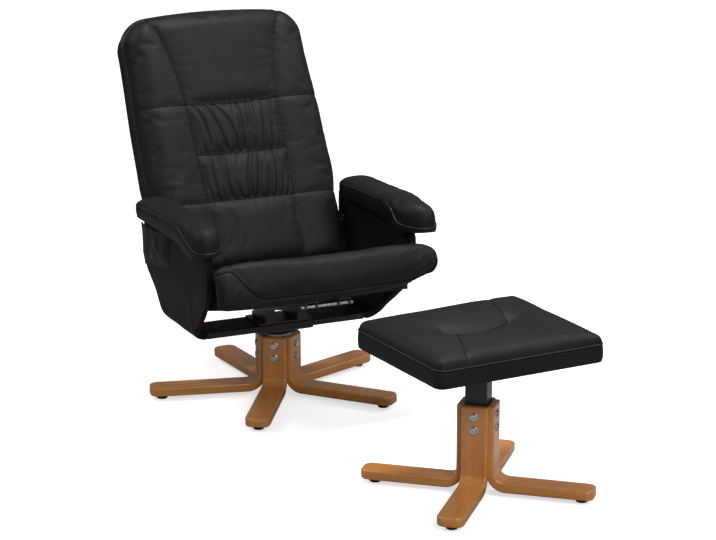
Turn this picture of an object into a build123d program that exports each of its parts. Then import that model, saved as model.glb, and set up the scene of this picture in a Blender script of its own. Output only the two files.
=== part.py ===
"""Massage armchair with footstool.

The chair swivels on a base of five bent wooden legs. An upholstered side panel stands at each
side, and a crossbar under the seat joins the two and carries the seat's inclined rails. The back
turns on two pins in the side panels and moves the seat along its rails. The stool stands on four
bent legs round a square post.

Frame: millimetres, +Z up. The chair faces -Y, and +X is the sitter's left.
Origin: on the floor, on the chair's swivel axis.
"""
from math import cos, radians, sin, tan
import os

from build123d import *

os.makedirs("parts", exist_ok=True)

# Bent wooden legs
leg_width = 68
leg_thickness = 20
leg_bend = 31              # radius on the hollow side of the bend
leg_edge_round = 3
leg_tip_round = 12
leg_mitre_gap = 0.6        # between the mitred edges of neighbouring legs
glide_height = 13
glide_radius = 15
glide_round = 3
glide_inset = 34           # from the leg's tip to the glide's axis

# Screws that hold the legs
screw_radius = 4
screw_clearance = 0.15
screw_head_radius = 7.5
screw_head_height = 5
screw_head_round = 1.5
screw_socket_radius = 3.4
screw_socket_depth = 3
screw_drop_upper = 26      # below the leg's top
screw_drop_lower = 61

# Chair base
chair_legs = 5
chair_leg_turn = -122.3    # degrees, direction of the first leg
chair_leg_reach = 361      # from the axis to the leg's tip
chair_leg_face = 58        # from the axis to the leg's outer face
chair_leg_top = 174
column_wall = 5
bush_flange_radius = 43
bush_flange = 3
bush_length = 100

# Spindle, hub and crossbar
spindle_radius = 15
spindle_chamfer = 1.5
running_gap = 0.05         # radial, in bores that turn
floating_gap = 0.3         # between flat faces that slide past each other
hub_low_radius = 40
hub_high_radius = 56
hub_height = 17
hub_plate_x = 168
hub_plate_y = 100
hub_plate = 6
crossbar_depth = 110
crossbar_front = -69       # the crossbar's front edge
crossbar_thickness = 18
crossbar_round = 4
frame_bolt_radius = 4
frame_bolt_head_radius = 7
frame_bolt_head = 5
frame_bolt_x = 70          # from the middle, on the hub plate
frame_bolt_edge = 22       # from the hub plate's front and rear edges

# Width of the back, from which the places of the side panels and the seat's width follow
back_half_width = 279
back_side_gap = 7          # between the back and a side panel

# Side panels
panel_thickness = 24
panel_outer = back_half_width + back_side_gap + panel_thickness
panel_front = -250
panel_rear = 221
panel_top = 508
panel_knee = 352           # height where the panel starts to lean inwards
panel_lean = 31            # how far the leaning face comes in on its way to the bottom
panel_toe_run = 44         # from there to the crossbar's end
panel_toe = panel_outer - panel_lean
panel_toe_end = panel_toe - panel_toe_run
panel_knee_radius = 150
panel_toe_radius = 45
panel_front_knee = 366
panel_front_ankle = (-100, 243)
panel_front_toe = -72
panel_rear_knee = 366
panel_rear_ankle = (172, 300)
panel_rear_toe = 158
panel_outline_radius = 60
panel_bolt_radius = 3
panel_bolt_head_radius = 6
panel_bolt_head = 5
panel_bolt_reach = 15      # from the crossbar's end to the outer face of a bolt's head
panel_bolt_length = 55
panel_bolt_edge = 23       # from the crossbar's front and rear edges

# Side pocket on the sitter's right, given by its corners: along the chair, and below the panel's top
pocket_gap = 6             # room between the pocket's sheet and the panel
pocket_sheet = 2.5
pocket_seam = 8
pocket_rear_top = (205, 30)
pocket_front_top = (-10, 15)
pocket_front_low = (-16, 90)
pocket_rear_low = (192, 136)

# Armrests, given by places along the chair and heights above the panel's top
arm_overhang_inner = 54    # past the panel's outer face, inwards
arm_overhang_outer = 41
arm_inner = panel_outer - arm_overhang_inner
arm_outer = panel_outer + arm_overhang_outer
arm_rear = 166
arm_board = 8
arm_board_inset = 10
arm_under_step = -160      # where the pad's underside starts to drop
arm_under_drop = (-197, -18)
arm_under_tip = (-262, -25)
arm_under_gap = 1.5        # between the drooping tip and the panel below it
arm_tip_edge = (-280, 20)
arm_tip_middle = (-288, 38)
arm_nose_edge = (-215, 38)
arm_nose_middle = (-240, 61)
arm_top_edge = (-150, 48)
arm_top_middle = (-150, 66)
arm_rest_edge = (0, 44)
arm_rest_middle = (0, 61)
arm_rear_edge = 34
arm_rear_middle = 50
arm_front_bulge = 12
arm_tip_inset = 20         # how far the tip's corners fall back
arm_across_shares = [0, 0.12, 0.5, 0.88, 1]
arm_crown_shares = [0, 0.62, 1, 0.62, 0]

# Seat, in its own tilted frame: along it from the front, and up from its underside
seat_tilt = 15             # degrees, the front is higher
seat_front = -375          # the middle of the front edge of the underside
seat_low = 366
seat_length = 436
seat_side_gap = 18         # between the seat and a side panel
seat_half_width = panel_outer - panel_thickness - seat_side_gap
seat_top = 98
seat_crown = 12
seat_dish = 6              # extra height of the cushion over its length
seat_rear_bulge = 7
seat_body_start = 60
seat_board = 15
seat_board_front = 30
seat_board_side = 14       # from the cushion's side to the board's
seat_board_half_width = seat_half_width - seat_board_side
seat_bow = 36              # how far the front edge falls back at its ends
seat_across_shares = [0, 0.35, 0.65, 0.86, 0.95, 0.985, 1]
seat_low_shares = [0, 0, 0, 0, 0.05, 0.16, 0.36]
seat_high_shares = [1, 0.85, 0.45, 0, -0.5, -1.1, -1.8]
roll_overhang = 12         # of the front roll, past the panels' outer faces
roll_half_width = panel_outer + roll_overhang
roll_depth = 77
roll_edge = 106            # height of the front roll where its top meets its front
roll_edge_back = 3         # how far that line lies behind the roll's front
roll_crest = 30            # from the roll's front to its highest line
roll_shoulder = 94         # height of the front roll's rear shoulder
roll_height = 123
roll_bulge = 9             # how far the roll's front swells forward
roll_lip = 6
roll_across_shares = [0, 0.3, 0.6, 0.8, 0.9, 0.955, 0.985, 1]
roll_size_shares = [1, 1, 1, 1, 0.98, 0.92, 0.82, 0.66]

# Seat rails, carried on the crossbar
rail_spacing = 48          # from the middle
rail_width = 28
rail_height = 16
rail_start = 80            # along the seat, from its front
rail_end = 418
slide_wall = 2.5
slide_play = 0.5
slide_web = 4
slide_start = 28
slide_end = 372
mechanism_plate = 5
mechanism_plate_x = 168
cross_rod_radius = 5
cross_rod_place = 42       # along the seat, from its front
cross_rod_drop = 9         # from the slides' top web to the rod's axis
cross_rod_overhang = 10

# Backrest, in its own tilted frame: across it, along it and out of its front surface
back_tilt = 28.5           # degrees from upright
back_seam_y = 179          # the front surface at the lower cross seam
back_seam_z = 520
back_low_inset = 17        # how far the sides draw in towards the lower end
back_low_half_width = back_half_width - back_low_inset
back_low = -196            # along the back, from the lower cross seam
back_high = 584
back_corner = 70
back_taper_start = -112
cushion_rear = -78
cushion_end_share = 0.5    # of the depth lost at the ends, lost on the front surface
cushion_side = -50         # where the cushion's sides are widest
cushion_shoulder = -26
cushion_rear_inset = 16
cushion_shoulder_inset = 26
cushion_bulge = 15
cushion_pinch = 9          # how deep the cross seams draw the front surface in
cushion_flat = 2           # crown left at a cross seam
side_bulge = 9
back_board = 15
back_board_inset = 12
back_cover = 14
back_cover_inset = 6
back_cover_round = 5
# place along the back, half width, half width at the long seams, pinch and depth, as shares
back_station_shares = [
    (-0.336, 0.925, 0.480, 0.6, 0.86), (-0.240, 0.965, 0.475, 0.1, 0.96), (-0.115, 0.990, 0.472, 0.0, 1.0),
    (-0.029, 1.000, 0.473, 0.2, 1.00), (0.000, 1.000, 0.474, 1.0, 1.00), (0.029, 1.000, 0.475, 0.2, 1.0),
    (0.119, 1.000, 0.480, 0.0, 1.00), (0.209, 1.000, 0.486, 0.2, 1.00), (0.238, 1.000, 0.488, 1.0, 1.0),
    (0.267, 1.000, 0.490, 0.2, 1.00), (0.366, 1.000, 0.497, 0.0, 1.00), (0.466, 1.000, 0.503, 0.2, 1.0),
    (0.495, 1.000, 0.505, 1.0, 1.00), (0.524, 1.000, 0.508, 0.1, 1.00), (0.660, 1.000, 0.540, -0.3, 1.0),
    (0.810, 1.000, 0.610, -0.2, 1.00), (0.900, 0.985, 0.670, 0.0, 0.95), (0.955, 0.900, 0.660, 0.3, 0.84),
    (0.985, 0.760, 0.570, 0.6, 0.66), (1.000, 0.600, 0.430, 0.9, 0.46)]

# Pivots of the back
pivot_along = -80          # along the back, from the lower cross seam
pivot_behind = -60         # behind the front surface
pivot_radius = 8
pivot_plate = 3
pivot_plate_radius = 26
pivot_reach = 16.5         # of the pin, from its plate
pivot_bracket = 5
pivot_bracket_half = 28
pivot_bracket_round = 10

# Massage motors in the back
motor_radius = 17
motor_wall = 2
motor_length = 44
motor_shaft_radius = 2
motor_weight_radius = 12
motor_weight_length = 26
motor_room = 1             # foam cut away round a motor
motor_places = [(92, 214), (96, 58)]    # across and along the back

# Stool
stool_x = 137
stool_y = -949
stool_turn = 4             # degrees
stool_legs = 4
stool_leg_reach = 299.5
stool_leg_face = 48
stool_leg_top = 236
stool_post_wall = 3
stool_pad_x = 477
stool_pad_y = 411
stool_pad_low = 365
stool_band = 41
stool_crown = 24
stool_corner = 26
stool_board = 12
stool_board_inset = 14
stool_plate = 5
stool_plate_side = 180
stool_screw_radius = 3
stool_screw_head = 4
stool_screw_inset = 20
stool_across_shares = [0, 0.3, 0.6, 0.8, 0.92, 0.975, 1]
stool_crown_shares = [1, 0.93, 0.75, 0.52, 0.32, 0.16, 0.08]
stool_pull_shares = [0, 0, 0, 0, 0.04, 0.16, 0.5]
stool_edge_share = 0.25    # of the crown, risen by the pad's long edges
stool_tuck_shares = (0.2, 0.3)    # of the band, drawn in at the ends from below and from above
tuft_length = 230
tuft_depth = 9
tuft_width = 44
tuft_lip = 1               # of the recess, above the pad's crown
tuft_along_shares = [-0.5, -0.36, -0.14, 0.14, 0.36, 0.5]
tuft_size_shares = [0.15, 0.75, 1, 1, 0.75, 0.15]

# Power socket in the crossbar's rear edge
inlet_radius = 5
inlet_length = 20
inlet_bore = 2.75
inlet_depth = 12
inlet_pin_radius = 1
inlet_pin_length = 9
inlet_flange_radius = 6.5
inlet_flange = 2.5
inlet_x = 150

chair_axis = (0, 0)
stool_axis = (stool_x, stool_y)
hub_low = chair_leg_top + bush_flange + floating_gap
hub_top = hub_low + hub_height
crossbar_low = hub_top + hub_plate
crossbar_top = crossbar_low + crossbar_thickness
overrun = leg_width        # how far cutting tools run past what they cut


def write(name, part):
    part.label = name
    export_step(part, "parts/" + name + ".step")


def leg_turns(first, count):
    return [first + 360 / count * index for index in range(count)]


def outward(turn):
    return Vector(cos(radians(turn)), sin(radians(turn)), 0)


def sideways(turn):
    return Vector(-sin(radians(turn)), cos(radians(turn)), 0)


def face_plane(axis, turn, distance, height):
    """Plane across a leg's direction, with its normal away from the axis."""
    origin = Vector(axis[0], axis[1], height) + outward(turn) * distance
    return Plane(origin=origin, x_dir=sideways(turn), z_dir=outward(turn))


# Legs, screws and glides of both bases

def bent_leg(axis, turn, reach, face, top, count):
    upright = Plane(origin=(axis[0], axis[1], 0), x_dir=outward(turn), z_dir=-sideways(turn))
    flat = Plane(origin=(axis[0], axis[1], 0), x_dir=outward(turn), z_dir=(0, 0, 1))
    low = glide_height
    corners = [(reach, low), (reach, low + leg_thickness), (face, low + leg_thickness),
               (face, top), (face - leg_thickness, top), (face - leg_thickness, low)]
    with BuildPart() as leg:
        with BuildSketch(upright) as outline:
            with BuildLine():
                Polyline(*corners, close=True)
            make_face()
            fillet(outline.vertices().sort_by_distance(corners[2])[0], leg_bend)
            fillet(outline.vertices().sort_by_distance(corners[5])[0], leg_bend + leg_thickness)
        extrude(amount=leg_width / 2, both=True)
        tip = leg.edges().filter_by(Axis.Z).group_by(
            lambda edge: round((edge.center() - Vector(axis[0], axis[1], 0)).dot(outward(turn))))[-1]
        fillet(tip, leg_tip_round)
        fillet(leg.edges(), leg_edge_round)
        half_turn = radians(180 / count)
        gap = leg_mitre_gap / 2 / cos(half_turn)
        spread = reach * tan(half_turn) * 2 - gap
        with BuildSketch(flat):
            with BuildLine():
                Polyline((gap / tan(half_turn), 0), (reach * 2, spread), (reach * 2, -spread), close=True)
            make_face()
        extrude(amount=top + overrun, mode=Mode.INTERSECT)
        for drop in (screw_drop_upper, screw_drop_lower):
            with BuildSketch(face_plane(axis, turn, face, top - drop)):
                Circle(screw_radius + screw_clearance)
            extrude(amount=leg_thickness * 2, both=True, mode=Mode.SUBTRACT)
    return leg.part


def leg_screws(axis, turns, face, top, wall):
    with BuildPart() as screws:
        for turn in turns:
            for drop in (screw_drop_upper, screw_drop_lower):
                seat = face_plane(axis, turn, face, top - drop)
                with BuildSketch(seat):
                    Circle(screw_head_radius)
                extrude(amount=screw_head_height)
                with BuildSketch(seat.offset(screw_head_height)):
                    RegularPolygon(screw_socket_radius, 6)
                extrude(amount=-screw_socket_depth, mode=Mode.SUBTRACT)
                with BuildSketch(seat):
                    Circle(screw_radius)
                extrude(amount=-(leg_thickness + wall))
    return screws.part


def screw_holes(axis, turns, face, top, wall):
    """The screws' bores in the column's wall, as one set of cutting cylinders."""
    with BuildPart() as bores:
        for turn in turns:
            for drop in (screw_drop_upper, screw_drop_lower):
                with BuildSketch(face_plane(axis, turn, face - leg_thickness, top - drop)):
                    Circle(screw_radius + screw_clearance)
                extrude(amount=wall * 2, both=True)
    return bores.part


def leg_glides(axis, turns, reach):
    with BuildPart() as glides:
        for turn in turns:
            place = Vector(axis[0], axis[1], 0) + outward(turn) * (reach - glide_inset)
            with BuildSketch(Plane(origin=place)):
                Circle(glide_radius)
            extrude(amount=glide_height)
        fillet(glides.edges().group_by(Axis.Z)[0], glide_round)
    return glides.part


chair_turns = leg_turns(chair_leg_turn, chair_legs)
for number, turn in enumerate(chair_turns, 1):
    write("base_leg_%d" % number,
          bent_leg(chair_axis, turn, chair_leg_reach, chair_leg_face, chair_leg_top, chair_legs))
write("base_leg_screws", leg_screws(chair_axis, chair_turns, chair_leg_face, chair_leg_top, column_wall))
write("base_glides", leg_glides(chair_axis, chair_turns, chair_leg_reach))

# Column: a five-sided steel tube, closed below, with the bush in its top
column_flat = chair_leg_face - leg_thickness
column_low = glide_height + leg_thickness
column_turn = chair_leg_turn + 180 / chair_legs
with BuildPart() as column:
    with BuildSketch(Plane.XY.offset(column_low)):
        RegularPolygon(column_flat, chair_legs, major_radius=False, rotation=column_turn)
    extrude(amount=chair_leg_top - column_low)
    with BuildSketch(Plane.XY.offset(column_low + column_wall)):
        RegularPolygon(column_flat - column_wall, chair_legs, major_radius=False, rotation=column_turn)
    extrude(amount=chair_leg_top, mode=Mode.SUBTRACT)
    add(screw_holes(chair_axis, chair_turns, chair_leg_face, chair_leg_top, column_wall), mode=Mode.SUBTRACT)
write("base_column", column.part)

bush_low = chair_leg_top - bush_length
with BuildPart() as bush:
    with BuildSketch(Plane.XY.offset(bush_low)):
        Circle(column_flat - column_wall - screw_clearance)
    extrude(amount=bush_length)
    with BuildSketch(Plane.XY.offset(chair_leg_top)):
        Circle(bush_flange_radius)
    extrude(amount=bush_flange)
    with BuildSketch(Plane.XY.offset(bush_low)):
        Circle(spindle_radius + running_gap)
    extrude(amount=bush_length + bush_flange, mode=Mode.SUBTRACT)
    for turn in chair_turns:
        for drop in (screw_drop_upper, screw_drop_lower):
            with BuildSketch(face_plane(chair_axis, turn, column_flat, chair_leg_top - drop)):
                Circle(screw_radius + screw_clearance * 2)
            extrude(amount=-(column_wall + screw_radius), mode=Mode.SUBTRACT)
write("swivel_bush", bush.part)

# Spindle and hub
spindle_low = bush_low + spindle_radius
with BuildPart() as hub:
    with BuildSketch(Plane.XY.offset(hub_low)):
        Circle(hub_low_radius)
    with BuildSketch(Plane.XY.offset(hub_top)):
        Circle(hub_high_radius)
    loft()
    with BuildSketch(Plane.XY.offset(spindle_low)):
        Circle(spindle_radius)
    extrude(amount=hub_top - spindle_low)
    chamfer(hub.edges().group_by(Axis.Z)[0], spindle_chamfer)
write("swivel_spindle", hub.part)

crossbar_middle = crossbar_front + crossbar_depth / 2
bolt_places = [(side * frame_bolt_x, crossbar_middle + end * (hub_plate_y / 2 - frame_bolt_edge))
               for side in (-1, 1) for end in (-1, 1)]
with BuildPart() as plate:
    with BuildSketch(Plane((0, crossbar_middle, hub_top))):
        RectangleRounded(hub_plate_x, hub_plate_y, frame_bolt_head_radius)
    extrude(amount=hub_plate)
    with BuildSketch(Plane.XY.offset(hub_top)):
        with Locations(*bolt_places):
            Circle(frame_bolt_radius + screw_clearance)
    extrude(amount=hub_plate, mode=Mode.SUBTRACT)
write("hub_plate", plate.part)


with BuildPart() as mechanism:
    with BuildSketch(Plane((0, crossbar_middle, crossbar_top))):
        RectangleRounded(mechanism_plate_x, hub_plate_y, frame_bolt_head_radius)
    extrude(amount=mechanism_plate)
    with BuildSketch(Plane.XY.offset(crossbar_top)):
        with Locations(*bolt_places):
            Circle(frame_bolt_radius + screw_clearance)
    extrude(amount=mechanism_plate, mode=Mode.SUBTRACT)
write("mechanism_plate", mechanism.part)

with BuildPart() as frame_bolts:
    with BuildSketch(Plane.XY.offset(hub_top - frame_bolt_head)):
        with Locations(*bolt_places):
            RegularPolygon(frame_bolt_head_radius, 6)
    extrude(amount=frame_bolt_head)
    with BuildSketch(Plane.XY.offset(hub_top)):
        with Locations(*bolt_places):
            Circle(frame_bolt_radius)
    extrude(amount=hub_plate + crossbar_thickness + mechanism_plate + screw_head_round)
write("frame_bolts", frame_bolts.part)

# Side panels: a bent board, cut to the panel's outline


crossbar_level = crossbar_low + crossbar_thickness / 2
panel_bolt_spread = crossbar_depth / 2 - panel_bolt_edge
panel_bolt_places = [(crossbar_middle + end * panel_bolt_spread, crossbar_level) for end in (-1, 1)]


def panel_bolt_set(side, play):
    """The bolts of one side panel, thicker and longer all round by the play."""
    head = Plane.YZ.offset(side * (panel_toe_end + panel_bolt_reach + play))
    with BuildPart() as bolts:
        with BuildSketch(head):
            with Locations(*panel_bolt_places):
                RegularPolygon(panel_bolt_head_radius + play, 6)
        extrude(amount=-side * (panel_bolt_head + play * 2))
        with BuildSketch(head):
            with Locations(*panel_bolt_places):
                Circle(panel_bolt_radius + play)
        extrude(amount=-side * (panel_bolt_head + panel_bolt_length + play * 2))
    return bolts.part


def shifted(points, distance):
    """The points of a polyline moved square to its runs, to the right of its direction."""
    directions = [(Vector(*b) - Vector(*a)).normalized() for a, b in zip(points, points[1:])]
    normals = [Vector(d.Y, -d.X) for d in directions]
    moved = []
    for index, point in enumerate(points):
        before = normals[max(index - 1, 0)]
        after = normals[min(index, len(normals) - 1)]
        middle = (before + after).normalized()
        moved.append(Vector(*point) + middle * (distance / middle.dot(before)))
    return [(p.X, p.Y) for p in moved]


def slope(low, high):
    return (high[1] - low[1]) / (high[0] - low[0])


def side_panel(side):
    outer = [(panel_outer, panel_top), (panel_outer, panel_knee),
             (panel_toe, crossbar_low), (panel_toe_end, crossbar_low)]
    inner = shifted(outer, panel_thickness)
    drop = slope(arm_under_drop, (arm_under_step, arm_board))
    droop = slope(arm_under_tip, arm_under_drop)
    corner = arm_under_step - (arm_board - arm_under_gap) / drop
    nose = arm_under_drop[1] + (panel_front - arm_under_drop[0]) * droop - arm_under_gap
    under = (arm_under_drop[0], panel_top + arm_under_drop[1] - arm_under_gap)
    outline = [(panel_front, panel_top + nose), (panel_front, panel_front_knee), panel_front_ankle,
               (panel_front_toe, crossbar_low - overrun), (panel_rear_toe, crossbar_low - overrun),
               panel_rear_ankle, (panel_rear, panel_rear_knee), (panel_rear, panel_top),
               (corner, panel_top), under]
    with BuildPart() as panel:
        with BuildSketch(Plane.XZ) as band:
            with BuildLine():
                Polyline(*[(side * x, z) for x, z in outer + inner[::-1]], close=True)
            make_face()
            for place, radius in ((outer[1], panel_knee_radius), (outer[2], panel_toe_radius),
                                  (inner[1], panel_knee_radius - panel_thickness),
                                  (inner[2], panel_toe_radius - panel_thickness)):
                fillet(band.vertices().sort_by_distance((side * place[0], place[1]))[0], radius)
        extrude(amount=panel_rear * 2, both=True)
        with BuildSketch(Plane.YZ) as face:
            with BuildLine():
                Polyline(*outline, close=True)
            make_face()
            for corner in (outline[1], outline[2], outline[5], outline[6]):
                fillet(face.vertices().sort_by_distance(corner)[0], panel_outline_radius)
        extrude(amount=panel_outer * 2, both=True, mode=Mode.INTERSECT)
        add(panel_bolt_set(side, screw_clearance), mode=Mode.SUBTRACT)
    return panel.part


write("side_panel_right", side_panel(-1))
write("side_panel_left", side_panel(1))
with BuildPart() as panel_bolts:
    for side in (-1, 1):
        add(panel_bolt_set(side, 0))
write("side_panel_bolts", panel_bolts.part)


# Crossbar between the side panels
crossbar_rear = Plane(origin=(inlet_x, crossbar_front + crossbar_depth, crossbar_level),
                      x_dir=(1, 0, 0), z_dir=(0, 1, 0))
with BuildPart() as crossbar:
    with BuildSketch(Plane((0, crossbar_middle, crossbar_low))):
        Rectangle(panel_toe_end * 2, crossbar_depth)
    extrude(amount=crossbar_thickness)
    fillet(crossbar.edges().filter_by(Axis.X), crossbar_round)
    with BuildSketch(Plane.XY.offset(crossbar_low)):
        with Locations(*bolt_places):
            Circle(frame_bolt_radius + screw_clearance)
    extrude(amount=crossbar_thickness, mode=Mode.SUBTRACT)
    with BuildSketch(crossbar_rear):
        Circle(inlet_radius + screw_clearance)
    extrude(amount=-inlet_length, mode=Mode.SUBTRACT)
    for side in (-1, 1):
        add(panel_bolt_set(side, screw_clearance), mode=Mode.SUBTRACT)
write("seat_crossbar", crossbar.part)

# Power socket: a barrel with a flange and a centre pin, from the crossbar's rear edge inwards
with BuildPart() as inlet:
    with BuildSketch(crossbar_rear):
        Circle(inlet_flange_radius)
    extrude(amount=inlet_flange)
    with BuildSketch(crossbar_rear):
        Circle(inlet_radius)
    extrude(amount=-inlet_length)
    with BuildSketch(crossbar_rear.offset(inlet_flange)):
        Circle(inlet_bore)
    extrude(amount=-inlet_depth, mode=Mode.SUBTRACT)
    with BuildSketch(crossbar_rear.offset(inlet_flange - inlet_depth)):
        Circle(inlet_pin_radius)
    extrude(amount=inlet_pin_length)
write("power_socket", inlet.part)

# Side pocket: a sheet sewn round three edges, open at the top
pocket_corners = [(place, panel_top - drop) for place, drop in
                  (pocket_rear_top, pocket_front_top, pocket_front_low, pocket_rear_low)]
rear_top, front_top, front_low, rear_low = pocket_corners
pocket_rise = pocket_gap + pocket_sheet
with BuildPart() as pocket:
    with BuildSketch(Plane.YZ.offset(-panel_outer)):
        with BuildLine():
            Polyline(*pocket_corners, close=True)
        make_face()
    extrude(amount=-pocket_rise)
    with BuildSketch(Plane.YZ.offset(-panel_outer)):
        with BuildLine():
            Polyline((rear_top[0] - pocket_seam, rear_top[1] + pocket_rise),
                     (front_top[0] + pocket_seam, front_top[1] + pocket_rise),
                     (front_low[0] + pocket_seam, front_low[1] + pocket_seam),
                     (rear_low[0] - pocket_seam, rear_low[1] + pocket_seam), close=True)
        make_face()
    extrude(amount=-pocket_gap, mode=Mode.SUBTRACT)
write("side_pocket", pocket.part)


# Armrests: a board on each side panel and a crowned pad on the board


def between(edge, middle, share):
    """A place between the pad's edge and its middle line."""
    return (edge[0] + (middle[0] - edge[0]) * share, edge[1] + (middle[1] - edge[1]) * share)


def arm_pad(side):
    with BuildPart() as pad:
        for across, crown in zip(arm_across_shares, arm_crown_shares):
            x = side * (arm_inner + (arm_outer - arm_inner) * across)
            inset = arm_tip_inset * (1 - crown)
            tip = between(arm_tip_edge, arm_tip_middle, crown)
            tip = (tip[0] + inset, tip[1])
            under = (arm_under_tip[0] + inset, arm_under_tip[1])
            front = ((tip[0] + under[0]) / 2 - arm_front_bulge, (tip[1] + under[1]) / 2)
            top = between(arm_top_edge, arm_top_middle, crown)
            rear = between((arm_rear, arm_rear_edge), (arm_rear, arm_rear_middle), crown)
            with BuildSketch(Plane(origin=(x, 0, panel_top), x_dir=(0, 1, 0), z_dir=(1, 0, 0))):
                with BuildLine():
                    Polyline(rear, (arm_rear, arm_board), (arm_under_step, arm_board),
                             arm_under_drop, under)
                    ThreePointArc(under, front, tip)
                    ThreePointArc(tip, between(arm_nose_edge, arm_nose_middle, crown), top)
                    ThreePointArc(top, between(arm_rest_edge, arm_rest_middle, crown), rear)
                make_face()
        loft()
    return pad.part


def arm_board_part(side):
    middle = side * (arm_inner + arm_outer) / 2
    length = arm_rear - arm_board_inset - arm_under_step
    with BuildPart() as board:
        with BuildSketch(Plane((middle, arm_under_step + length / 2, panel_top))):
            RectangleRounded(arm_outer - arm_inner - arm_board_inset * 2, length, arm_board_inset)
        extrude(amount=arm_board)
    return board.part


for name, side in (("right", -1), ("left", 1)):
    write("arm_pad_" + name, arm_pad(side))
    write("arm_board_" + name, arm_board_part(side))

# Seat: board and cushion, and the rails under them
tilt = radians(seat_tilt)
seat_along = Vector(0, cos(tilt), -sin(tilt))
seat_up = Vector(0, sin(tilt), cos(tilt))
seat_origin = Vector(0, seat_front, seat_low)


def seat_section(x):
    return Plane(origin=seat_origin + Vector(x, 0, 0), x_dir=seat_along, z_dir=(1, 0, 0))


def seat_level(height):
    return Plane(origin=seat_origin + seat_up * height, x_dir=(1, 0, 0), z_dir=seat_up)


def seat_across(along):
    return Plane(origin=seat_origin + seat_along * along, x_dir=(-1, 0, 0), z_dir=seat_along)


def both_sides(*tables):
    """Rows of tables that run from the middle to one side, repeated for the other side."""
    rows = list(zip(*tables))
    return [(-row[0], *row[1:]) for row in rows[:0:-1]] + rows


board_corner = (seat_board_half_width, seat_board_front + seat_bow)
with BuildPart() as seat_board_part:
    with BuildSketch(seat_level(0)):
        with BuildLine():
            Polyline((-board_corner[0], board_corner[1]), (-board_corner[0], seat_length),
                     (board_corner[0], seat_length), board_corner)
            ThreePointArc(board_corner, (0, seat_board_front), (-board_corner[0], board_corner[1]))
        make_face()
    extrude(amount=seat_board)
write("seat_board", seat_board_part.part)

with BuildPart() as seat_cushion:
    for across, low, high in both_sides(seat_across_shares, seat_low_shares, seat_high_shares):
        base = seat_board + low * seat_top
        rise = seat_top + high * seat_crown
        rear = seat_length - seat_rear_bulge
        with BuildSketch(seat_section(across * seat_half_width)):
            with BuildLine():
                Line((rear, base), (seat_body_start, base))
                Line((seat_body_start, base), (seat_body_start, rise + seat_dish))
                ThreePointArc((seat_body_start, rise + seat_dish),
                              ((seat_body_start + rear) / 2, rise + seat_dish / 2), (rear, rise - seat_dish))
                ThreePointArc((rear, rise - seat_dish), (seat_length, (base + rise - seat_dish) / 2), (rear, base))
            make_face()
    loft(ruled=True)
    for across, size in both_sides(roll_across_shares, roll_size_shares):
        front = seat_bow * across * across
        middle = ((front + roll_depth) / 2, roll_height / 2)
        lip = between(middle, (front + roll_lip, 0), size)
        heel = between(middle, (roll_depth, 0), size)
        shoulder = between(middle, (roll_depth, roll_shoulder), size)
        edge = between(middle, (front + roll_edge_back, roll_edge), size)
        with BuildSketch(seat_section(across * roll_half_width)):
            with BuildLine():
                Line(lip, heel)
                Line(heel, shoulder)
                ThreePointArc(shoulder, between(middle, (front + roll_crest, roll_height), size), edge)
                ThreePointArc(edge, between(middle, (front - roll_bulge, roll_edge / 2), size), lip)
            make_face()
    loft(ruled=True)
    add(seat_board_part.part, mode=Mode.SUBTRACT)
write("seat_cushion", seat_cushion.part)

# Rails: fixed carriers on the crossbar, and slides under the seat's board that ride on them
carrier_top = -(slide_web + floating_gap)
carrier_low = carrier_top - rail_height
slide_half = rail_width / 2 + slide_play + slide_wall
rod_level = -(slide_web + cross_rod_drop)



def carrier_underside(y):
    """Height of the fixed rails' underside at a place along the chair."""
    start = seat_origin + seat_up * carrier_low
    return start.Z - (y - start.Y) * tan(tilt)


level = crossbar_top + mechanism_plate
plate_front = crossbar_middle - hub_plate_y / 2
plate_rear = crossbar_middle + hub_plate_y / 2
for name, side in (("right", -1), ("left", 1)):
    x = side * rail_spacing
    with BuildPart() as carrier:
        with BuildSketch(seat_across(rail_start)):
            with Locations((-x, (carrier_low + carrier_top) / 2)):
                Rectangle(rail_width, rail_height)
        extrude(amount=rail_end - rail_start)
    write("seat_carrier_" + name, carrier.part)
    with BuildPart() as bracket:
        with BuildSketch(Plane.YZ.offset(x - rail_width / 2)):
            with BuildLine():
                Polyline((plate_front, level), (plate_rear, level),
                         (plate_rear, carrier_underside(plate_rear)),
                         (plate_front, carrier_underside(plate_front)), close=True)
            make_face()
        extrude(amount=rail_width)
    write("carrier_bracket_" + name, bracket.part)
    inner = slide_half - slide_wall
    with BuildPart() as slide:
        with BuildSketch(seat_across(slide_start)):
            with BuildLine():
                Polyline((-x - slide_half, carrier_low), (-x - slide_half, 0), (-x + slide_half, 0),
                         (-x + slide_half, carrier_low), (-x + inner, carrier_low), (-x + inner, -slide_web),
                         (-x - inner, -slide_web), (-x - inner, carrier_low), close=True)
            make_face()
        extrude(amount=slide_end - slide_start)
        with BuildSketch(seat_section(x - slide_half)):
            with Locations((cross_rod_place, rod_level)):
                Circle(cross_rod_radius + screw_clearance)
        extrude(amount=slide_half * 2, mode=Mode.SUBTRACT)
    write("seat_slide_" + name, slide.part)

# Cross rod that ties the slides' front ends
rod_half = rail_spacing + slide_half + cross_rod_overhang
with BuildPart() as cross_rod:
    with BuildSketch(seat_section(-rod_half)):
        with Locations((cross_rod_place, rod_level)):
            Circle(cross_rod_radius)
    extrude(amount=rod_half * 2)
write("slide_cross_rod", cross_rod.part)

# Backrest
lean = radians(back_tilt)
back_up = Vector(0, sin(lean), cos(lean))
back_out = Vector(0, -cos(lean), sin(lean))
back_origin = Vector(0, back_seam_y, back_seam_z)


def back_level(along):
    """Plane across the back: x across it, y out of its front surface."""
    return Plane(origin=back_origin + back_up * along, x_dir=(-1, 0, 0), z_dir=back_up)


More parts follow.
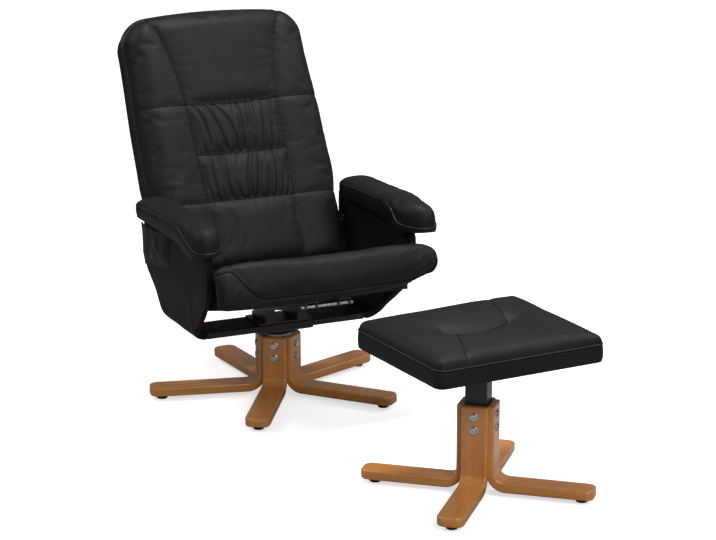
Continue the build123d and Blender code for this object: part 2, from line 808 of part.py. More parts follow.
def back_face(out):
    """Plane along the back: x across it, y up along it, its normal out of the front surface."""
    return Plane(origin=back_origin + back_out * out, x_dir=(1, 0, 0), z_dir=back_out)


def back_side(x):
    """Plane square to the chair's width: x up along the back, y out of its front surface."""
    return Plane(origin=back_origin + Vector(x, 0, 0), x_dir=back_up, z_dir=(1, 0, 0))


def back_outline(inset):
    """Corners and rounding radii of the back's outline, drawn in by an inset."""
    low = back_low + inset
    wide = back_half_width - inset
    narrow = back_low_half_width - inset
    return [(-narrow, low), (-wide, back_taper_start), (-wide, back_high - inset),
            (wide, back_high - inset), (wide, back_taper_start), (narrow, low)], back_corner - inset


def back_sheet(inset, rear, thickness):
    corners, radius = back_outline(inset)
    with BuildPart() as sheet:
        with BuildSketch(back_face(rear)) as outline:
            with BuildLine():
                Polyline(*corners, close=True)
            make_face()
            for corner in (corners[2], corners[3]):
                fillet(outline.vertices().sort_by_distance(corner)[0], radius)
        extrude(amount=thickness)
    return sheet.part


board_rear = cushion_rear - back_board
bracket_outer = back_half_width - back_board_inset + pivot_bracket
with BuildPart() as back_cushion:
    for along, half, seam, pinch, depth in back_station_shares:
        wide = back_half_width * half
        crease = back_half_width * seam
        front = -cushion_pinch * pinch + cushion_rear * (1 - depth) * cushion_end_share
        rear = cushion_rear
        side = cushion_side * depth + rear * (1 - depth)
        shoulder = (wide - cushion_shoulder_inset, cushion_shoulder * depth + side * (1 - depth))
        rear_end = (wide - cushion_rear_inset, rear)
        swell = cushion_flat + cushion_bulge * (1 - pinch)
        flank = ((shoulder[0] + crease) / 2, (shoulder[1] + front) / 2 + side_bulge)
        with BuildSketch(back_level(back_high * along)):
            with BuildLine():
                Line((-rear_end[0], rear), rear_end)
                ThreePointArc(rear_end, (wide, side), shoulder)
                ThreePointArc(shoulder, flank, (crease, front))
                ThreePointArc((crease, front), (0, front + swell), (-crease, front))
                ThreePointArc((-crease, front), (-flank[0], flank[1]), (-shoulder[0], shoulder[1]))
                ThreePointArc((-shoulder[0], shoulder[1]), (-wide, side), (-rear_end[0], rear))
            make_face()
    loft(ruled=True)
    for place in motor_places:
        for side in (-1, 1):
            with BuildSketch(back_face(cushion_rear)):
                with Locations((side * place[0], place[1])):
                    Rectangle(motor_length + motor_room * 2, (motor_radius + motor_room) * 2)
            extrude(amount=(motor_radius + motor_room) * 2, mode=Mode.SUBTRACT)
    for side in (-1, 1):
        with BuildSketch(back_side(side * back_half_width)):
            with Locations((pivot_along, pivot_behind)):
                Rectangle((pivot_bracket_half + motor_room) * 2, (pivot_bracket_half + motor_room) * 2)
        extrude(amount=-side * (back_board_inset + motor_room), mode=Mode.SUBTRACT)
write("back_cushion", back_cushion.part)
write("back_board", back_sheet(back_board_inset, board_rear, back_board))
with BuildPart() as rear_cover:
    add(back_sheet(back_cover_inset, board_rear - back_cover, back_cover))
    fillet(rear_cover.faces().sort_by(lambda face: face.center().dot(back_out))[0].edges(), back_cover_round)
write("back_rear_cover", rear_cover.part)

# Pivots: a pin on each side panel, and a bracket with its bore on the back's board
inner_face = panel_outer - panel_thickness
for name, side in (("right", -1), ("left", 1)):
    with BuildPart() as pivot:
        with BuildSketch(back_side(side * inner_face)):
            with Locations((pivot_along, pivot_behind)):
                Circle(pivot_plate_radius)
        extrude(amount=-side * pivot_plate)
        with BuildSketch(back_side(side * (inner_face - pivot_plate))):
            with Locations((pivot_along, pivot_behind)):
                Circle(pivot_radius)
        extrude(amount=-side * pivot_reach)
    write("back_pivot_" + name, pivot.part)
    with BuildPart() as bracket:
        with BuildSketch(back_side(side * bracket_outer)) as plate:
            low = (pivot_along - pivot_bracket_half, pivot_behind + pivot_bracket_half)
            high = (pivot_along + pivot_bracket_half, pivot_behind + pivot_bracket_half)
            with BuildLine():
                Polyline((low[0], board_rear), (high[0], board_rear), high, low, close=True)
            make_face()
            for corner in (low, high):
                fillet(plate.vertices().sort_by_distance(corner)[0], pivot_bracket_round)
            with Locations((pivot_along, pivot_behind)):
                Circle(pivot_radius + running_gap, mode=Mode.SUBTRACT)
        extrude(amount=-side * pivot_bracket)
    write("back_bracket_" + name, bracket.part)

# Massage motors: a housing against the board, with an off-centre weight on a shaft inside it
motor_number = 0
motor_out = cushion_rear + motor_radius
for place in motor_places:
    for side in (-1, 1):
        motor_number += 1
        middle = back_origin + back_up * place[1] + back_out * motor_out + Vector(side * place[0], 0, 0)
        start = Plane(origin=middle - Vector(motor_length / 2, 0, 0), x_dir=(0, 1, 0), z_dir=(1, 0, 0))
        room = motor_length - motor_wall * 2
        with BuildPart() as housing:
            with BuildSketch(start):
                Circle(motor_radius)
            extrude(amount=motor_length)
            with BuildSketch(start.offset(motor_wall)):
                Circle(motor_radius - motor_wall)
            extrude(amount=room, mode=Mode.SUBTRACT)
            with BuildSketch(start):
                Circle(motor_shaft_radius + running_gap)
            extrude(amount=motor_length, mode=Mode.SUBTRACT)
        write("massage_motor_%d" % motor_number, housing.part)
        with BuildPart() as weight:
            with BuildSketch(start):
                Circle(motor_shaft_radius)
            extrude(amount=motor_length)
            with BuildSketch(start.offset((motor_length - motor_weight_length) / 2)):
                with Locations((0, -motor_weight_radius / 2)):
                    Rectangle(motor_weight_radius * 2, motor_weight_radius)
                Circle(motor_weight_radius, mode=Mode.INTERSECT)
            extrude(amount=motor_weight_length)
        write("massage_weight_%d" % motor_number, weight.part)

# Stool: four legs round a square post, a steel plate, a board and a cushion
stool_first = stool_turn - 180 + 180 / stool_legs
stool_turns = leg_turns(stool_first, stool_legs)
for number, turn in enumerate(stool_turns, 1):
    write("stool_leg_%d" % number,
          bent_leg(stool_axis, turn, stool_leg_reach, stool_leg_face, stool_leg_top, stool_legs))
write("stool_leg_screws",
      leg_screws(stool_axis, stool_turns, stool_leg_face, stool_leg_top, stool_post_wall))
write("stool_glides", leg_glides(stool_axis, stool_turns, stool_leg_reach))


def stool_level(height):
    turned = (cos(radians(stool_turn)), sin(radians(stool_turn)), 0)
    return Plane(origin=(stool_x, stool_y, height), x_dir=turned, z_dir=(0, 0, 1))


def stool_section(x):
    turn = radians(stool_turn)
    origin = Vector(stool_x + x * cos(turn), stool_y + x * sin(turn), 0)
    return Plane(origin=origin, x_dir=(-sin(turn), cos(turn), 0), z_dir=(cos(turn), sin(turn), 0))


post_half = stool_leg_face - leg_thickness
plate_low = stool_pad_low - stool_plate
with BuildPart() as post:
    with BuildSketch(Plane((stool_x, stool_y, column_low))):
        Rectangle(post_half * 2, post_half * 2, rotation=stool_first)
        Rectangle((post_half - stool_post_wall) * 2, (post_half - stool_post_wall) * 2,
                  rotation=stool_first, mode=Mode.SUBTRACT)
    extrude(amount=plate_low - column_low)
    add(screw_holes(stool_axis, stool_turns, stool_leg_face, stool_leg_top, stool_post_wall), mode=Mode.SUBTRACT)
write("stool_post", post.part)

screw_grid = stool_plate_side - stool_screw_inset * 2
with BuildPart() as stool_plate_part:
    with BuildSketch(stool_level(plate_low)):
        RectangleRounded(stool_plate_side, stool_plate_side, stool_screw_inset / 2)
        with GridLocations(screw_grid, screw_grid, 2, 2):
            Circle(stool_screw_radius + screw_clearance, mode=Mode.SUBTRACT)
    extrude(amount=stool_plate)
write("stool_plate", stool_plate_part.part)

with BuildPart() as stool_board_part:
    with BuildSketch(stool_level(stool_pad_low)):
        RectangleRounded(stool_pad_x - stool_board_inset * 2, stool_pad_y - stool_board_inset * 2, stool_corner)
    extrude(amount=stool_board)
    with BuildSketch(stool_level(stool_pad_low)):
        with GridLocations(screw_grid, screw_grid, 2, 2):
            Circle(stool_screw_radius + screw_clearance)
    extrude(amount=stool_board - stool_screw_head / 2, mode=Mode.SUBTRACT)
write("stool_board", stool_board_part.part)

with BuildPart() as plate_screws:
    with BuildSketch(stool_level(plate_low)):
        with GridLocations(screw_grid, screw_grid, 2, 2):
            Circle(stool_screw_radius * 2)
    extrude(amount=-stool_screw_head)
    with BuildSketch(stool_level(plate_low)):
        with GridLocations(screw_grid, screw_grid, 2, 2):
            Circle(stool_screw_radius)
    extrude(amount=stool_plate + stool_board / 2)
write("stool_plate_screws", plate_screws.part)

with BuildPart() as stool_cushion:
    for across, crown, pull in both_sides(stool_across_shares, stool_crown_shares, stool_pull_shares):
        half = stool_pad_y / 2 - stool_corner * pull
        low = stool_pad_low + stool_band * pull * stool_tuck_shares[0]
        high = stool_pad_low + stool_band * (1 - pull * stool_tuck_shares[1])
        high += stool_crown * crown * stool_edge_share
        top = high + stool_crown * crown
        with BuildSketch(stool_section(across * stool_pad_x / 2)):
            with BuildLine():
                Polyline((-half, high), (-half, low), (half, low), (half, high))
                ThreePointArc((half, high), (0, top), (-half, high))
            make_face()
    loft(ruled=True)
    with BuildSketch(stool_level(stool_pad_low)):
        RectangleRounded(stool_pad_x - stool_board_inset * 2, stool_pad_y - stool_board_inset * 2, stool_corner)
    extrude(amount=stool_board, mode=Mode.SUBTRACT)
    crest = stool_pad_low + stool_band + stool_crown * (1 + stool_edge_share) + tuft_lip
    for along, size in zip(tuft_along_shares, tuft_size_shares):
        half = tuft_width / 2 * size
        with BuildSketch(stool_section(tuft_length * along)):
            with BuildLine():
                Line((-half, crest), (half, crest))
                ThreePointArc((half, crest), (0, crest - tuft_lip - tuft_depth * size), (-half, crest))
            make_face()
    loft(ruled=True, mode=Mode.SUBTRACT)
write("stool_cushion", stool_cushion.part)
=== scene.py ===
"""Looks of a massage armchair with footstool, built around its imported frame.

The soft pieces are modelled as padded, sewn shells in metres, in the frame's own coordinates: the
chair faces -Y, +X is the sitter's left and the floor is at z = 0. The bentwood legs are modelled
again with eased edges. The steel and plastic pieces keep their shape and get their finish here.
"""
from math import cos, pi, radians, sin

import bpy
import numpy as np
from bpy.props import FloatProperty, FloatVectorProperty
from mathutils import Euler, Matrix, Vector
from mathutils.bvhtree import BVHTree


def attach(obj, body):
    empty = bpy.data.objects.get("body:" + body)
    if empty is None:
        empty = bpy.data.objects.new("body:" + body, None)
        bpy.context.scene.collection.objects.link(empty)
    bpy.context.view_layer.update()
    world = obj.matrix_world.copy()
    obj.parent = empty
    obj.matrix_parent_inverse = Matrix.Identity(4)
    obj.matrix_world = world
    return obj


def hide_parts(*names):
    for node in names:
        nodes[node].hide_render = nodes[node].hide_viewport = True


bl_info = {
    "name": "Massage armchair",
    "version": (1, 0, 0),
    "blender": (4, 5, 0),
    "location": "View3D > Sidebar > Armchair",
    "description": "Builds the leather, wood and steel of a massage armchair with footstool",
    "category": "Object",
}

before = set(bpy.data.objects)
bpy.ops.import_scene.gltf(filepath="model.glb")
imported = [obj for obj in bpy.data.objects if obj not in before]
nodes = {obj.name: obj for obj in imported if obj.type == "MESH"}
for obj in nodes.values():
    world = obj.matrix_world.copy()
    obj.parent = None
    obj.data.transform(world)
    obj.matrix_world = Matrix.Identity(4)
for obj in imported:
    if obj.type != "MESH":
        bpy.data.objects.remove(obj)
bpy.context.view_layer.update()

seat_tilt = radians(15)
back_tilt = radians(28.5)
stool_turn = radians(4)


def length(name, description, default):
    return FloatProperty(name=name, description=description, default=default, unit="LENGTH", precision=4)


def factor(name, description, default):
    return FloatProperty(name=name, description=description, default=default, min=0, max=1, subtype="FACTOR")


def colour(name, description, default):
    return FloatVectorProperty(name=name, description=description, default=default, size=3,
                               min=0, max=1, subtype="COLOR")


# Settings that a user would change


class LeatherSettings(bpy.types.PropertyGroup):
    black: colour("Black", "Colour of the faux leather", (0.0066, 0.0066, 0.0070))
    worn: colour("Worn black", "Colour where the faux leather is rubbed", (0.0135, 0.0135, 0.0141))
    thread: colour("Thread", "Colour of the seams' thread", (0.020, 0.020, 0.021))
    grain: length("Grain", "Width of one pebble of the grain", 0.0016)
    roughness: factor("Roughness", "How dull the leather is", 0.55)


class WoodSettings(bpy.types.PropertyGroup):
    honey: colour("Honey", "Colour of the lacquered veneer", (0.700, 0.300, 0.078))
    dark: colour("Dark", "Colour of the veneer's darker streaks", (0.420, 0.145, 0.030))
    glue: colour("Glue line", "Colour between the layers of veneer", (0.155, 0.050, 0.014))
    layer: length("Layer", "Thickness of one layer of veneer", 0.0022)
    coat: factor("Lacquer", "Weight of the clear lacquer", 0.40)


class SteelSettings(bpy.types.PropertyGroup):
    black: colour("Black steel", "Colour of the painted steel", (0.012, 0.012, 0.013))
    zinc: colour("Zinc", "Colour of the zinc plate", (0.66, 0.67, 0.68))


class BackSettings(bpy.types.PropertyGroup):
    crown: length("Crown", "How far the back's panels swell between the seams", 0.013)
    fold: length("Fold depth", "Depth of the gathered folds", 0.0042)
    seam: length("Seam depth", "How deep a seam draws the leather in", 0.0026)


class StageSettings(bpy.types.PropertyGroup):
    floor: colour("Floor", "Colour of the floor", (0.86, 0.86, 0.86))
    lift: factor("Lift", "How much the floor is lifted towards white", 0.64)
    bounce: factor("Bounce", "How much light the floor throws back", 0.38)
    lamp: FloatProperty(name="Lamps", description="Watts of a lamp whose share is 1", default=150)
    sky: factor("Sky", "Strength of the even light from all round", 0.17)


def settings(name):
    return getattr(bpy.context.scene, "armchair_" + name)


# Materials


class Value:
    """A node's output in a material: sums, differences, products and quotients of it add Math nodes."""

    def __init__(self, sheet, socket):
        self.sheet = sheet
        self.socket = socket

    def maths(self, operation, *others):
        return self.sheet.add("Math", {"operation": operation}, dict(enumerate([self, *others])))

    def __add__(self, other):
        return self.maths("ADD", other)

    __radd__ = __add__

    def __sub__(self, other):
        return self.maths("SUBTRACT", other)

    def __rsub__(self, other):
        return (self * -1.0) + other

    def __mul__(self, other):
        return self.maths("MULTIPLY", other)

    __rmul__ = __mul__

    def __truediv__(self, other):
        return self.maths("DIVIDE", other)


class Sheet:
    """The nodes of one material, ending in a Principled shader."""

    def __init__(self, name, roughness, metallic=0.0, **constants):
        self.material = bpy.data.materials.new(name)
        self.material.use_nodes = True
        self.tree = self.material.node_tree
        self.tree.nodes.clear()
        self.shader = self.tree.nodes.new("ShaderNodeBsdfPrincipled")
        output = self.tree.nodes.new("ShaderNodeOutputMaterial")
        self.tree.links.new(self.shader.outputs[0], output.inputs[0])
        self.set(Roughness=roughness, Metallic=metallic)
        for socket, value in constants.items():
            self.shader.inputs[socket.replace("_", " ")].default_value = value

    def put(self, socket, value):
        if isinstance(value, Value):
            self.tree.links.new(value.socket, socket)
        elif hasattr(value, "__len__") and len(value) == 3 and len(socket.default_value) == 4:
            socket.default_value = (*value, 1)
        else:
            socket.default_value = value

    def add(self, kind, options=None, inputs=None, output=0):
        """One node of any kind, with its options, its inputs by name or place, and the output wanted."""
        node = self.tree.nodes.new("ShaderNode" + kind)
        for option, value in (options or {}).items():
            if option == "stops":
                ramp = node.color_ramp.elements
                while len(ramp) < len(value):
                    ramp.new(0.5)
                for element, (place, shade) in zip(ramp, value):
                    element.position = place
                    element.color = (shade, shade, shade, 1)
            else:
                setattr(node, option, value)
        for name, value in (inputs or {}).items():
            self.put(node.inputs[name], value)
        return Value(self, node.outputs[output])

    def set(self, **links):
        for name, value in links.items():
            self.put(self.shader.inputs[name.replace("_", " ")], value)

    def place(self):
        return self.add("TexCoord", output="Object")

    def split(self, vector):
        node = self.add("SeparateXYZ", inputs={0: vector}).socket.node
        return [Value(self, socket) for socket in node.outputs]

    def combine(self, x, y, z):
        return self.add("CombineXYZ", inputs={0: x, 1: y, 2: z})

    def noise(self, vector, scale, detail=3.0, rough=0.5):
        return self.add("TexNoise", inputs={"Vector": vector, "Scale": scale, "Detail": detail,
                                            "Roughness": rough})

    def pebbles(self, vector, scale):
        return self.add("TexVoronoi", {"feature": "SMOOTH_F1"}, {"Vector": vector, "Scale": scale})

    def ramp(self, value, *stops):
        return self.add("ValToRGB", {"stops": stops}, {0: value})

    def mix(self, share, first, second):
        return self.add("Mix", {"data_type": "RGBA"}, {0: share, 6: first, 7: second}, output=2)

    def bump(self, height, distance, strength):
        bump = self.add("Bump", inputs={"Strength": strength, "Distance": distance, "Height": height})
        self.set(Normal=bump)


def tinted(base, gain, lift=0.0):
    """A colour made lighter or darker by a gain, and lifted off black."""
    return tuple(min(1.0, part * gain + lift) for part in base)


def leather_finish(name, grain_share=1.0, dull=0.0, shine=0.17):
    """Faux leather: a pebbled grain, fine creases, and a slow change of colour and gloss."""
    leather = settings("leather")
    sheet = Sheet(name, leather.roughness, Specular_IOR_Level=shine)
    where = sheet.place()
    warp = sheet.noise(where, 38.0, 2.0)
    pebbles = sheet.pebbles(where, grain_share / leather.grain)
    creases = sheet.noise(where, 320.0, 4.0, 0.65)
    drift = sheet.noise(where, 7.0, 4.0, 0.55)
    rubbed = sheet.ramp(drift * 0.7 + warp * 0.3, (0.42, 0.0), (0.74, 1.0))
    sheet.set(Base_Color=sheet.mix(rubbed * 0.55, leather.black, leather.worn),
              Roughness=drift * 0.16 + creases * 0.08 + (leather.roughness - 0.11 + dull))
    sheet.bump(pebbles * 0.6 + creases * 0.55, 0.00042, 0.75)
    return sheet.material


def seam_shade_finish():
    """Painted shade: the near-black colour standing in for the shade at the bottom of a seam."""
    sheet = Sheet("seam_shadow", 0.9, Specular_IOR_Level=0.05)
    fuzz = sheet.noise(sheet.place(), 900.0)
    sheet.set(Base_Color=sheet.mix(fuzz * 0.5, (0.0012, 0.0012, 0.0012), (0.0035, 0.0035, 0.0037)))
    sheet.bump(fuzz, 0.0001, 0.4)
    return sheet.material


def thread_finish():
    leather = settings("leather")
    sheet = Sheet("thread", 0.6)
    x, y, z = sheet.split(sheet.place())
    twist = ((x + y + z) * 5200.0).maths("SINE")
    sheet.set(Base_Color=sheet.mix(twist * 0.25 + 0.4, leather.thread, leather.worn))
    sheet.bump(twist, 0.0002, 0.5)
    return sheet.material


def bentwood_finish(name, centre, turn, face):
    """Lacquered bentwood: veneer that follows one bent leg from its top to its tip."""
    wood = settings("wood")
    sheet = Sheet(name, 0.30, Coat_Weight=wood.coat, Coat_Roughness=0.07)
    x, y, z = sheet.split(sheet.place())
    x, y = x - centre[0], y - centre[1]
    reach = x * cos(turn) + y * sin(turn)
    across = y * cos(turn) - x * sin(turn)
    heart_out, heart_up = bend_heart(face)
    inward = (heart_out - reach).maths("MAXIMUM", 0.0)
    down = (heart_up - z).maths("MAXIMUM", 0.0)
    out = (reach - heart_out).maths("MAXIMUM", 0.0)
    above = (z - heart_up).maths("MAXIMUM", 0.0)
    depth = (inward * inward + down * down).maths("SQRT")
    along = out - above + down.maths("ARCTAN2", inward) * leg_bend
    streaks = sheet.noise(sheet.combine(along * 5.0, across * 160.0, depth * 340.0 + turn), 1.0, 5.0, 0.6)
    figure = sheet.noise(sheet.combine(along * 9.0, across * 26.0, depth * 30.0 + turn), 1.0, 3.0, 0.5)
    pores = sheet.noise(sheet.combine(along * 70.0, across * 1500.0, depth * 1500.0), 1.0, 2.0, 0.5)
    layers = (depth / wood.layer).maths("FRACT")
    facing_up = sheet.split(sheet.add("NewGeometry", output="Normal"))[2].maths("ABSOLUTE")
    joint = sheet.ramp(layers, (0.0, 1.0), (0.10, 0.0), (0.92, 0.0), (1.0, 1.0))
    tone = sheet.ramp(streaks * 0.6 + figure * 0.4, (0.30, 0.0), (0.72, 1.0))
    ground = sheet.mix(tone * 0.75, wood.honey, wood.dark)
    ground = sheet.mix(joint * 0.35 * (1 - facing_up * 0.6), ground, wood.glue)
    open_pores = sheet.ramp(pores, (0.30, 1.0), (0.42, 0.0))
    sheet.set(Base_Color=sheet.mix(open_pores * 0.35, ground, wood.glue), Roughness=streaks * 0.12 + 0.22)
    sheet.bump(pores * 0.5 + streaks * 0.2, 0.00016, 0.45)
    return sheet.material


def painted_steel(name, base):
    """Powder coat: fine orange peel under a slow drift of colour and gloss."""
    sheet = Sheet(name, 0.38)
    where = sheet.place()
    peel = sheet.noise(where, 900.0, 3.0, 0.55)
    drift = sheet.noise(where, 24.0, 3.0)
    sheet.set(Base_Color=sheet.mix(drift * 0.5, base, tinted(base, 2.1, 0.004)),
              Roughness=drift * 0.14 + peel * 0.1 + 0.26)
    sheet.bump(peel, 0.00012, 0.5)
    return sheet.material


def plated_steel(name, base, roughness=0.24):
    """Bright plate: drawn lines and a cloudy tarnish."""
    sheet = Sheet(name, roughness, 1.0)
    where = sheet.place()
    x, y, z = sheet.split(where)
    lines = sheet.noise(sheet.combine(x * 90.0, y * 90.0, z * 2400.0), 1.0, 3.0)
    cloud = sheet.noise(where, 120.0, 3.0, 0.6)
    sheet.set(Base_Color=sheet.mix(cloud * 0.55, base, tinted(base, 0.58)),
              Roughness=cloud * 0.2 + lines * 0.1 + (roughness - 0.13))
    sheet.bump(lines, 0.00006, 0.4)
    return sheet.material


def moulded_finish(name, base, roughness=0.5):
    """Moulded plastic: a fine spark texture."""
    sheet = Sheet(name, roughness)
    where = sheet.place()
    spark = sheet.noise(where, 1500.0, 2.0)
    drift = sheet.noise(where, 30.0, 2.0)
    sheet.set(Base_Color=sheet.mix(drift * 0.4, base, tinted(base, 1.5, 0.003)),
              Roughness=drift * 0.15 + (roughness - 0.07))
    sheet.bump(spark, 0.00008, 0.5)
    return sheet.material


def plywood_finish(name, pale, dark):
    """Raw or painted ply: long grain on its faces and layers on its edges."""
    sheet = Sheet(name, 0.6)
    x, y, z = sheet.split(sheet.place())
    grain = sheet.noise(sheet.combine(x * 8.0, y * 120.0, z * 120.0), 1.0, 4.0, 0.6)
    plies = (z * 640.0).maths("FRACT")
    stripe = sheet.ramp(plies, (0.44, 0.0), (0.5, 1.0), (0.94, 1.0), (1.0, 0.0))
    sheet.set(Base_Color=sheet.mix(grain * 0.55 + stripe * 0.35, pale, dark), Roughness=grain * 0.2 + 0.5)
    sheet.bump(grain, 0.0002, 0.5)
    return sheet.material


def felt_finish(name, base):
    """Bonded dust cloth: short crossed fibres."""
    sheet = Sheet(name, 0.9)
    where = sheet.place()
    x, y, z = sheet.split(where)
    lengthways = sheet.noise(sheet.combine(x * 1400.0, y * 160.0, z * 900.0), 1.0, 2.0)
    crossways = sheet.noise(sheet.combine(x * 160.0, y * 1400.0, z * 900.0), 1.0, 2.0)
    fibres = lengthways.maths("MAXIMUM", crossways)
    sheet.set(Base_Color=sheet.mix(fibres, base, tinted(base, 3, 0.006)))
    sheet.bump(fibres, 0.0003, 0.7)
    return sheet.material


# Meshes

# Distance between the points of a seam's line, how far thread and welts stand off the leather, and
# how far the near-black cord of painted seam shade lies in the leather
line_step = 0.004
thread_lift = 0.0001
welt_lift = 0.0002
shade_cord_lift = -0.0001


def add_mesh(name, points, faces, material):
    mesh = bpy.data.meshes.new(name)
    mesh.from_pydata([tuple(point) for point in points], [], [tuple(face) for face in faces])
    mesh.validate()
    mesh.polygons.foreach_set("use_smooth", [True] * len(mesh.polygons))
    mesh.materials.append(material)
    piece = bpy.data.objects.new(name, mesh)
    bpy.context.scene.collection.objects.link(piece)
    return piece


def points_of(piece):
    flat = np.zeros(len(piece.data.vertices) * 3)
    piece.data.vertices.foreach_get("co", flat)
    return flat.reshape(-1, 3)


def set_points(piece, points):
    piece.data.vertices.foreach_set("co", np.asarray(points, float).reshape(-1))
    piece.data.update()


def normals_of(piece):
    flat = np.zeros(len(piece.data.vertices) * 3)
    piece.data.vertices.foreach_get("normal", flat)
    return flat.reshape(-1, 3)


def subdivide(piece):
    """Applies one smooth subdivision to the piece's own mesh."""
    modifier = piece.modifiers.new("smooth", "SUBSURF")
    modifier.levels = 1
    modifier.render_levels = 1
    graph = bpy.context.evaluated_depsgraph_get()
    mesh = bpy.data.meshes.new_from_object(piece.evaluated_get(graph))
    piece.modifiers.clear()
    old = piece.data
    name = old.name
    piece.data = mesh
    bpy.data.meshes.remove(old)
    mesh.name = name


def inflate(piece, held, pressure, limit, growth, steps=18):
    """Blows the piece up as sewn cloth held at some of its points, none moving further than the limit."""
    start = points_of(piece)
    group = piece.vertex_groups.new(name="sewn")
    group.add([int(index) for index in np.flatnonzero(held)], 1.0, "REPLACE")
    cloth = piece.modifiers.new("cloth", "CLOTH").settings
    cloth.quality = 4
    cloth.mass = 0.4
    cloth.tension_stiffness = 22
    cloth.compression_stiffness = 22
    cloth.shear_stiffness = 8
    cloth.bending_stiffness = 1.5
    cloth.use_pressure = True
    cloth.uniform_pressure_force = pressure
    cloth.shrink_min = -growth
    cloth.vertex_group_mass = "sewn"
    cloth.effector_weights.gravity = 0
    scene = bpy.context.scene
    for step in range(1, steps + 1):
        scene.frame_set(step)
    graph = bpy.context.evaluated_depsgraph_get()
    mesh = bpy.data.meshes.new_from_object(piece.evaluated_get(graph))
    flat = np.zeros(len(mesh.vertices) * 3)
    mesh.vertices.foreach_get("co", flat)
    bpy.data.meshes.remove(mesh)
    piece.modifiers.clear()
    piece.vertex_groups.clear()
    scene.frame_set(1)
    moved = flat.reshape(-1, 3) - start
    far = np.linalg.norm(moved, axis=1, keepdims=True) + 1e-12
    set_points(piece, start + moved * (limit * np.tanh(far / limit) / far))


def spaced(low, high, step, stops=()):
    """Places from low to high about a step apart, with one on each stop."""
    marks = [low, *sorted(stops), high]
    places = [low]
    for first, last in zip(marks, marks[1:]):
        count = max(1, round((last - first) / step))
        places += [first + (last - first) * (index + 1) / count for index in range(count)]
    return np.array(places)


def smooth_step(value):
    """Rises smoothly from 0 at zero to 1 at one."""
    value = np.clip(value, 0, 1)
    return value * value * (3 - 2 * value)


def hump(value):
    """A soft bell, 1 at zero."""
    return np.exp(-value * value)


def round_corner(a, b, half_a, low_b, high_b, low_radius, high_radius):
    """Pushes a square grid's corners in to a rounded outline."""
    sign = np.sign(a)
    for radius, end, way in ((low_radius, low_b, -1), (high_radius, high_b, 1)):
        if not radius:
            continue
        p = (np.abs(a) - (half_a - radius)) / radius
        q = (way * (b - end) + radius) / radius
        inside = (p > 0) & (q > 0)
        p, q = np.clip(p, 0, 1), np.clip(q, 0, 1)
        round_a = half_a - radius + radius * p * np.sqrt(1 - q * q / 2)
        round_b = end + way * (radius * q * np.sqrt(1 - p * p / 2) - radius)
        a = np.where(inside, sign * round_a, a)
        b = np.where(inside, round_b, b)
    return a, b


def inside_of(a, b, half, low, high, low_radius, high_radius):
    """How far a place lies inside a plan with rounded corners."""
    middle = (low + high) / 2
    radius = np.where(b > middle, high_radius, low_radius)
    p = np.abs(a) - (half - radius)
    q = np.abs(b - middle) - ((high - low) / 2 - radius)
    return radius - np.hypot(np.maximum(p, 0), np.maximum(q, 0)) - np.minimum(np.maximum(p, q), 0)


def roll_off(inside, width, power=2.2):
    """Share of a rounded edge's drop at a distance inside the rim: 1 at the rim, 0 past the width."""
    share = np.clip(1 - inside / width, 0, 1)
    return 1 - (1 - share ** power) ** (1 / power)


def eased(low, high, count, power=1.5):
    """Places from low to high that crowd together towards high."""
    return high - (high - low) * (1 - np.linspace(0, 1, count + 1)) ** power


def pillow(name, material, columns, rows, plan, top, low, band, place):
    """A closed padded shell: an upper and a lower skin over one plan, joined by a band round its rim.

    plan gives the places of the grid's points, top and low their heights, band the rim's
    profile as pairs of a share of its height and a bulge, and place the shell's own axes.
    """
    u, v = np.meshgrid(columns, rows)
    a, b = plan(u, v)
    upper = np.stack([a, b, top(u, v, a, b)], -1)
    lower = np.stack([a, b, low(u, v, a, b)], -1)
    wide, tall = len(columns), len(rows)
    index = np.arange(wide * tall).reshape(tall, wide)
    rim = np.concatenate([index[0, :-1], index[:-1, -1], index[-1, :0:-1], index[:0:-1, 0]])
    edge_top, edge_low = upper.reshape(-1, 3)[rim], lower.reshape(-1, 3)[rim]
    along = np.roll(edge_top, -1, 0) - np.roll(edge_top, 1, 0)
    outward = np.stack([along[:, 1], -along[:, 0], np.zeros(len(rim))], -1)
    outward /= np.linalg.norm(outward, axis=1, keepdims=True)
    rings = [edge_top + (edge_low - edge_top) * share + outward * bulge for share, bulge in band]
    points = np.concatenate([upper.reshape(-1, 3), *rings, lower.reshape(-1, 3)])
    count = wide * tall
    quads = np.stack([index[:-1, :-1], index[:-1, 1:], index[1:, 1:], index[1:, :-1]], -1).reshape(-1, 4)
    faces = [quads, quads[:, ::-1] + count + len(rim) * len(band)]
    loops = [rim] + [count + len(rim) * level + np.arange(len(rim)) for level in range(len(band))]
    loops.append(rim + count + len(rim) * len(band))
    for first, second in zip(loops, loops[1:]):
        faces.append(np.stack([first, second, np.roll(second, -1), np.roll(first, -1)], -1))
    piece = add_mesh(name, place(points), np.concatenate(faces), material)
    skin = np.zeros(len(points), int)
    skin[count:] = 1
    skin[count + len(rim) * len(band):] = 2
    skin[rim] = 1
    return piece, skin


def level_skin(level):
    """A pillow's flat skin at one level."""
    return lambda u, v, a, b: np.full_like(a, level)


def edge_of(plan, columns, rows):
    """Places of a plan along one of its edges, where its columns or its rows are a single number."""
    return np.stack(plan(*np.broadcast_arrays(np.asarray(columns, float), rows)), -1)


def raised(line, level):
    """A flat line's points at a level."""
    return np.column_stack([line, np.full(len(line), level)])


def axes(origin, across, along):
    """A function from a piece's own places to the frame's, given its origin and two axes."""
    basis = np.array([across, along, np.cross(across, along)])
    return lambda points: np.asarray(origin) + np.asarray(points) @ basis


def inverse(origin, across, along):
    """The way back: a function from the frame's places to a piece's own."""
    basis = np.array([across, along, np.cross(across, along)])
    return lambda points: (np.asarray(points) - np.asarray(origin)) @ basis.T


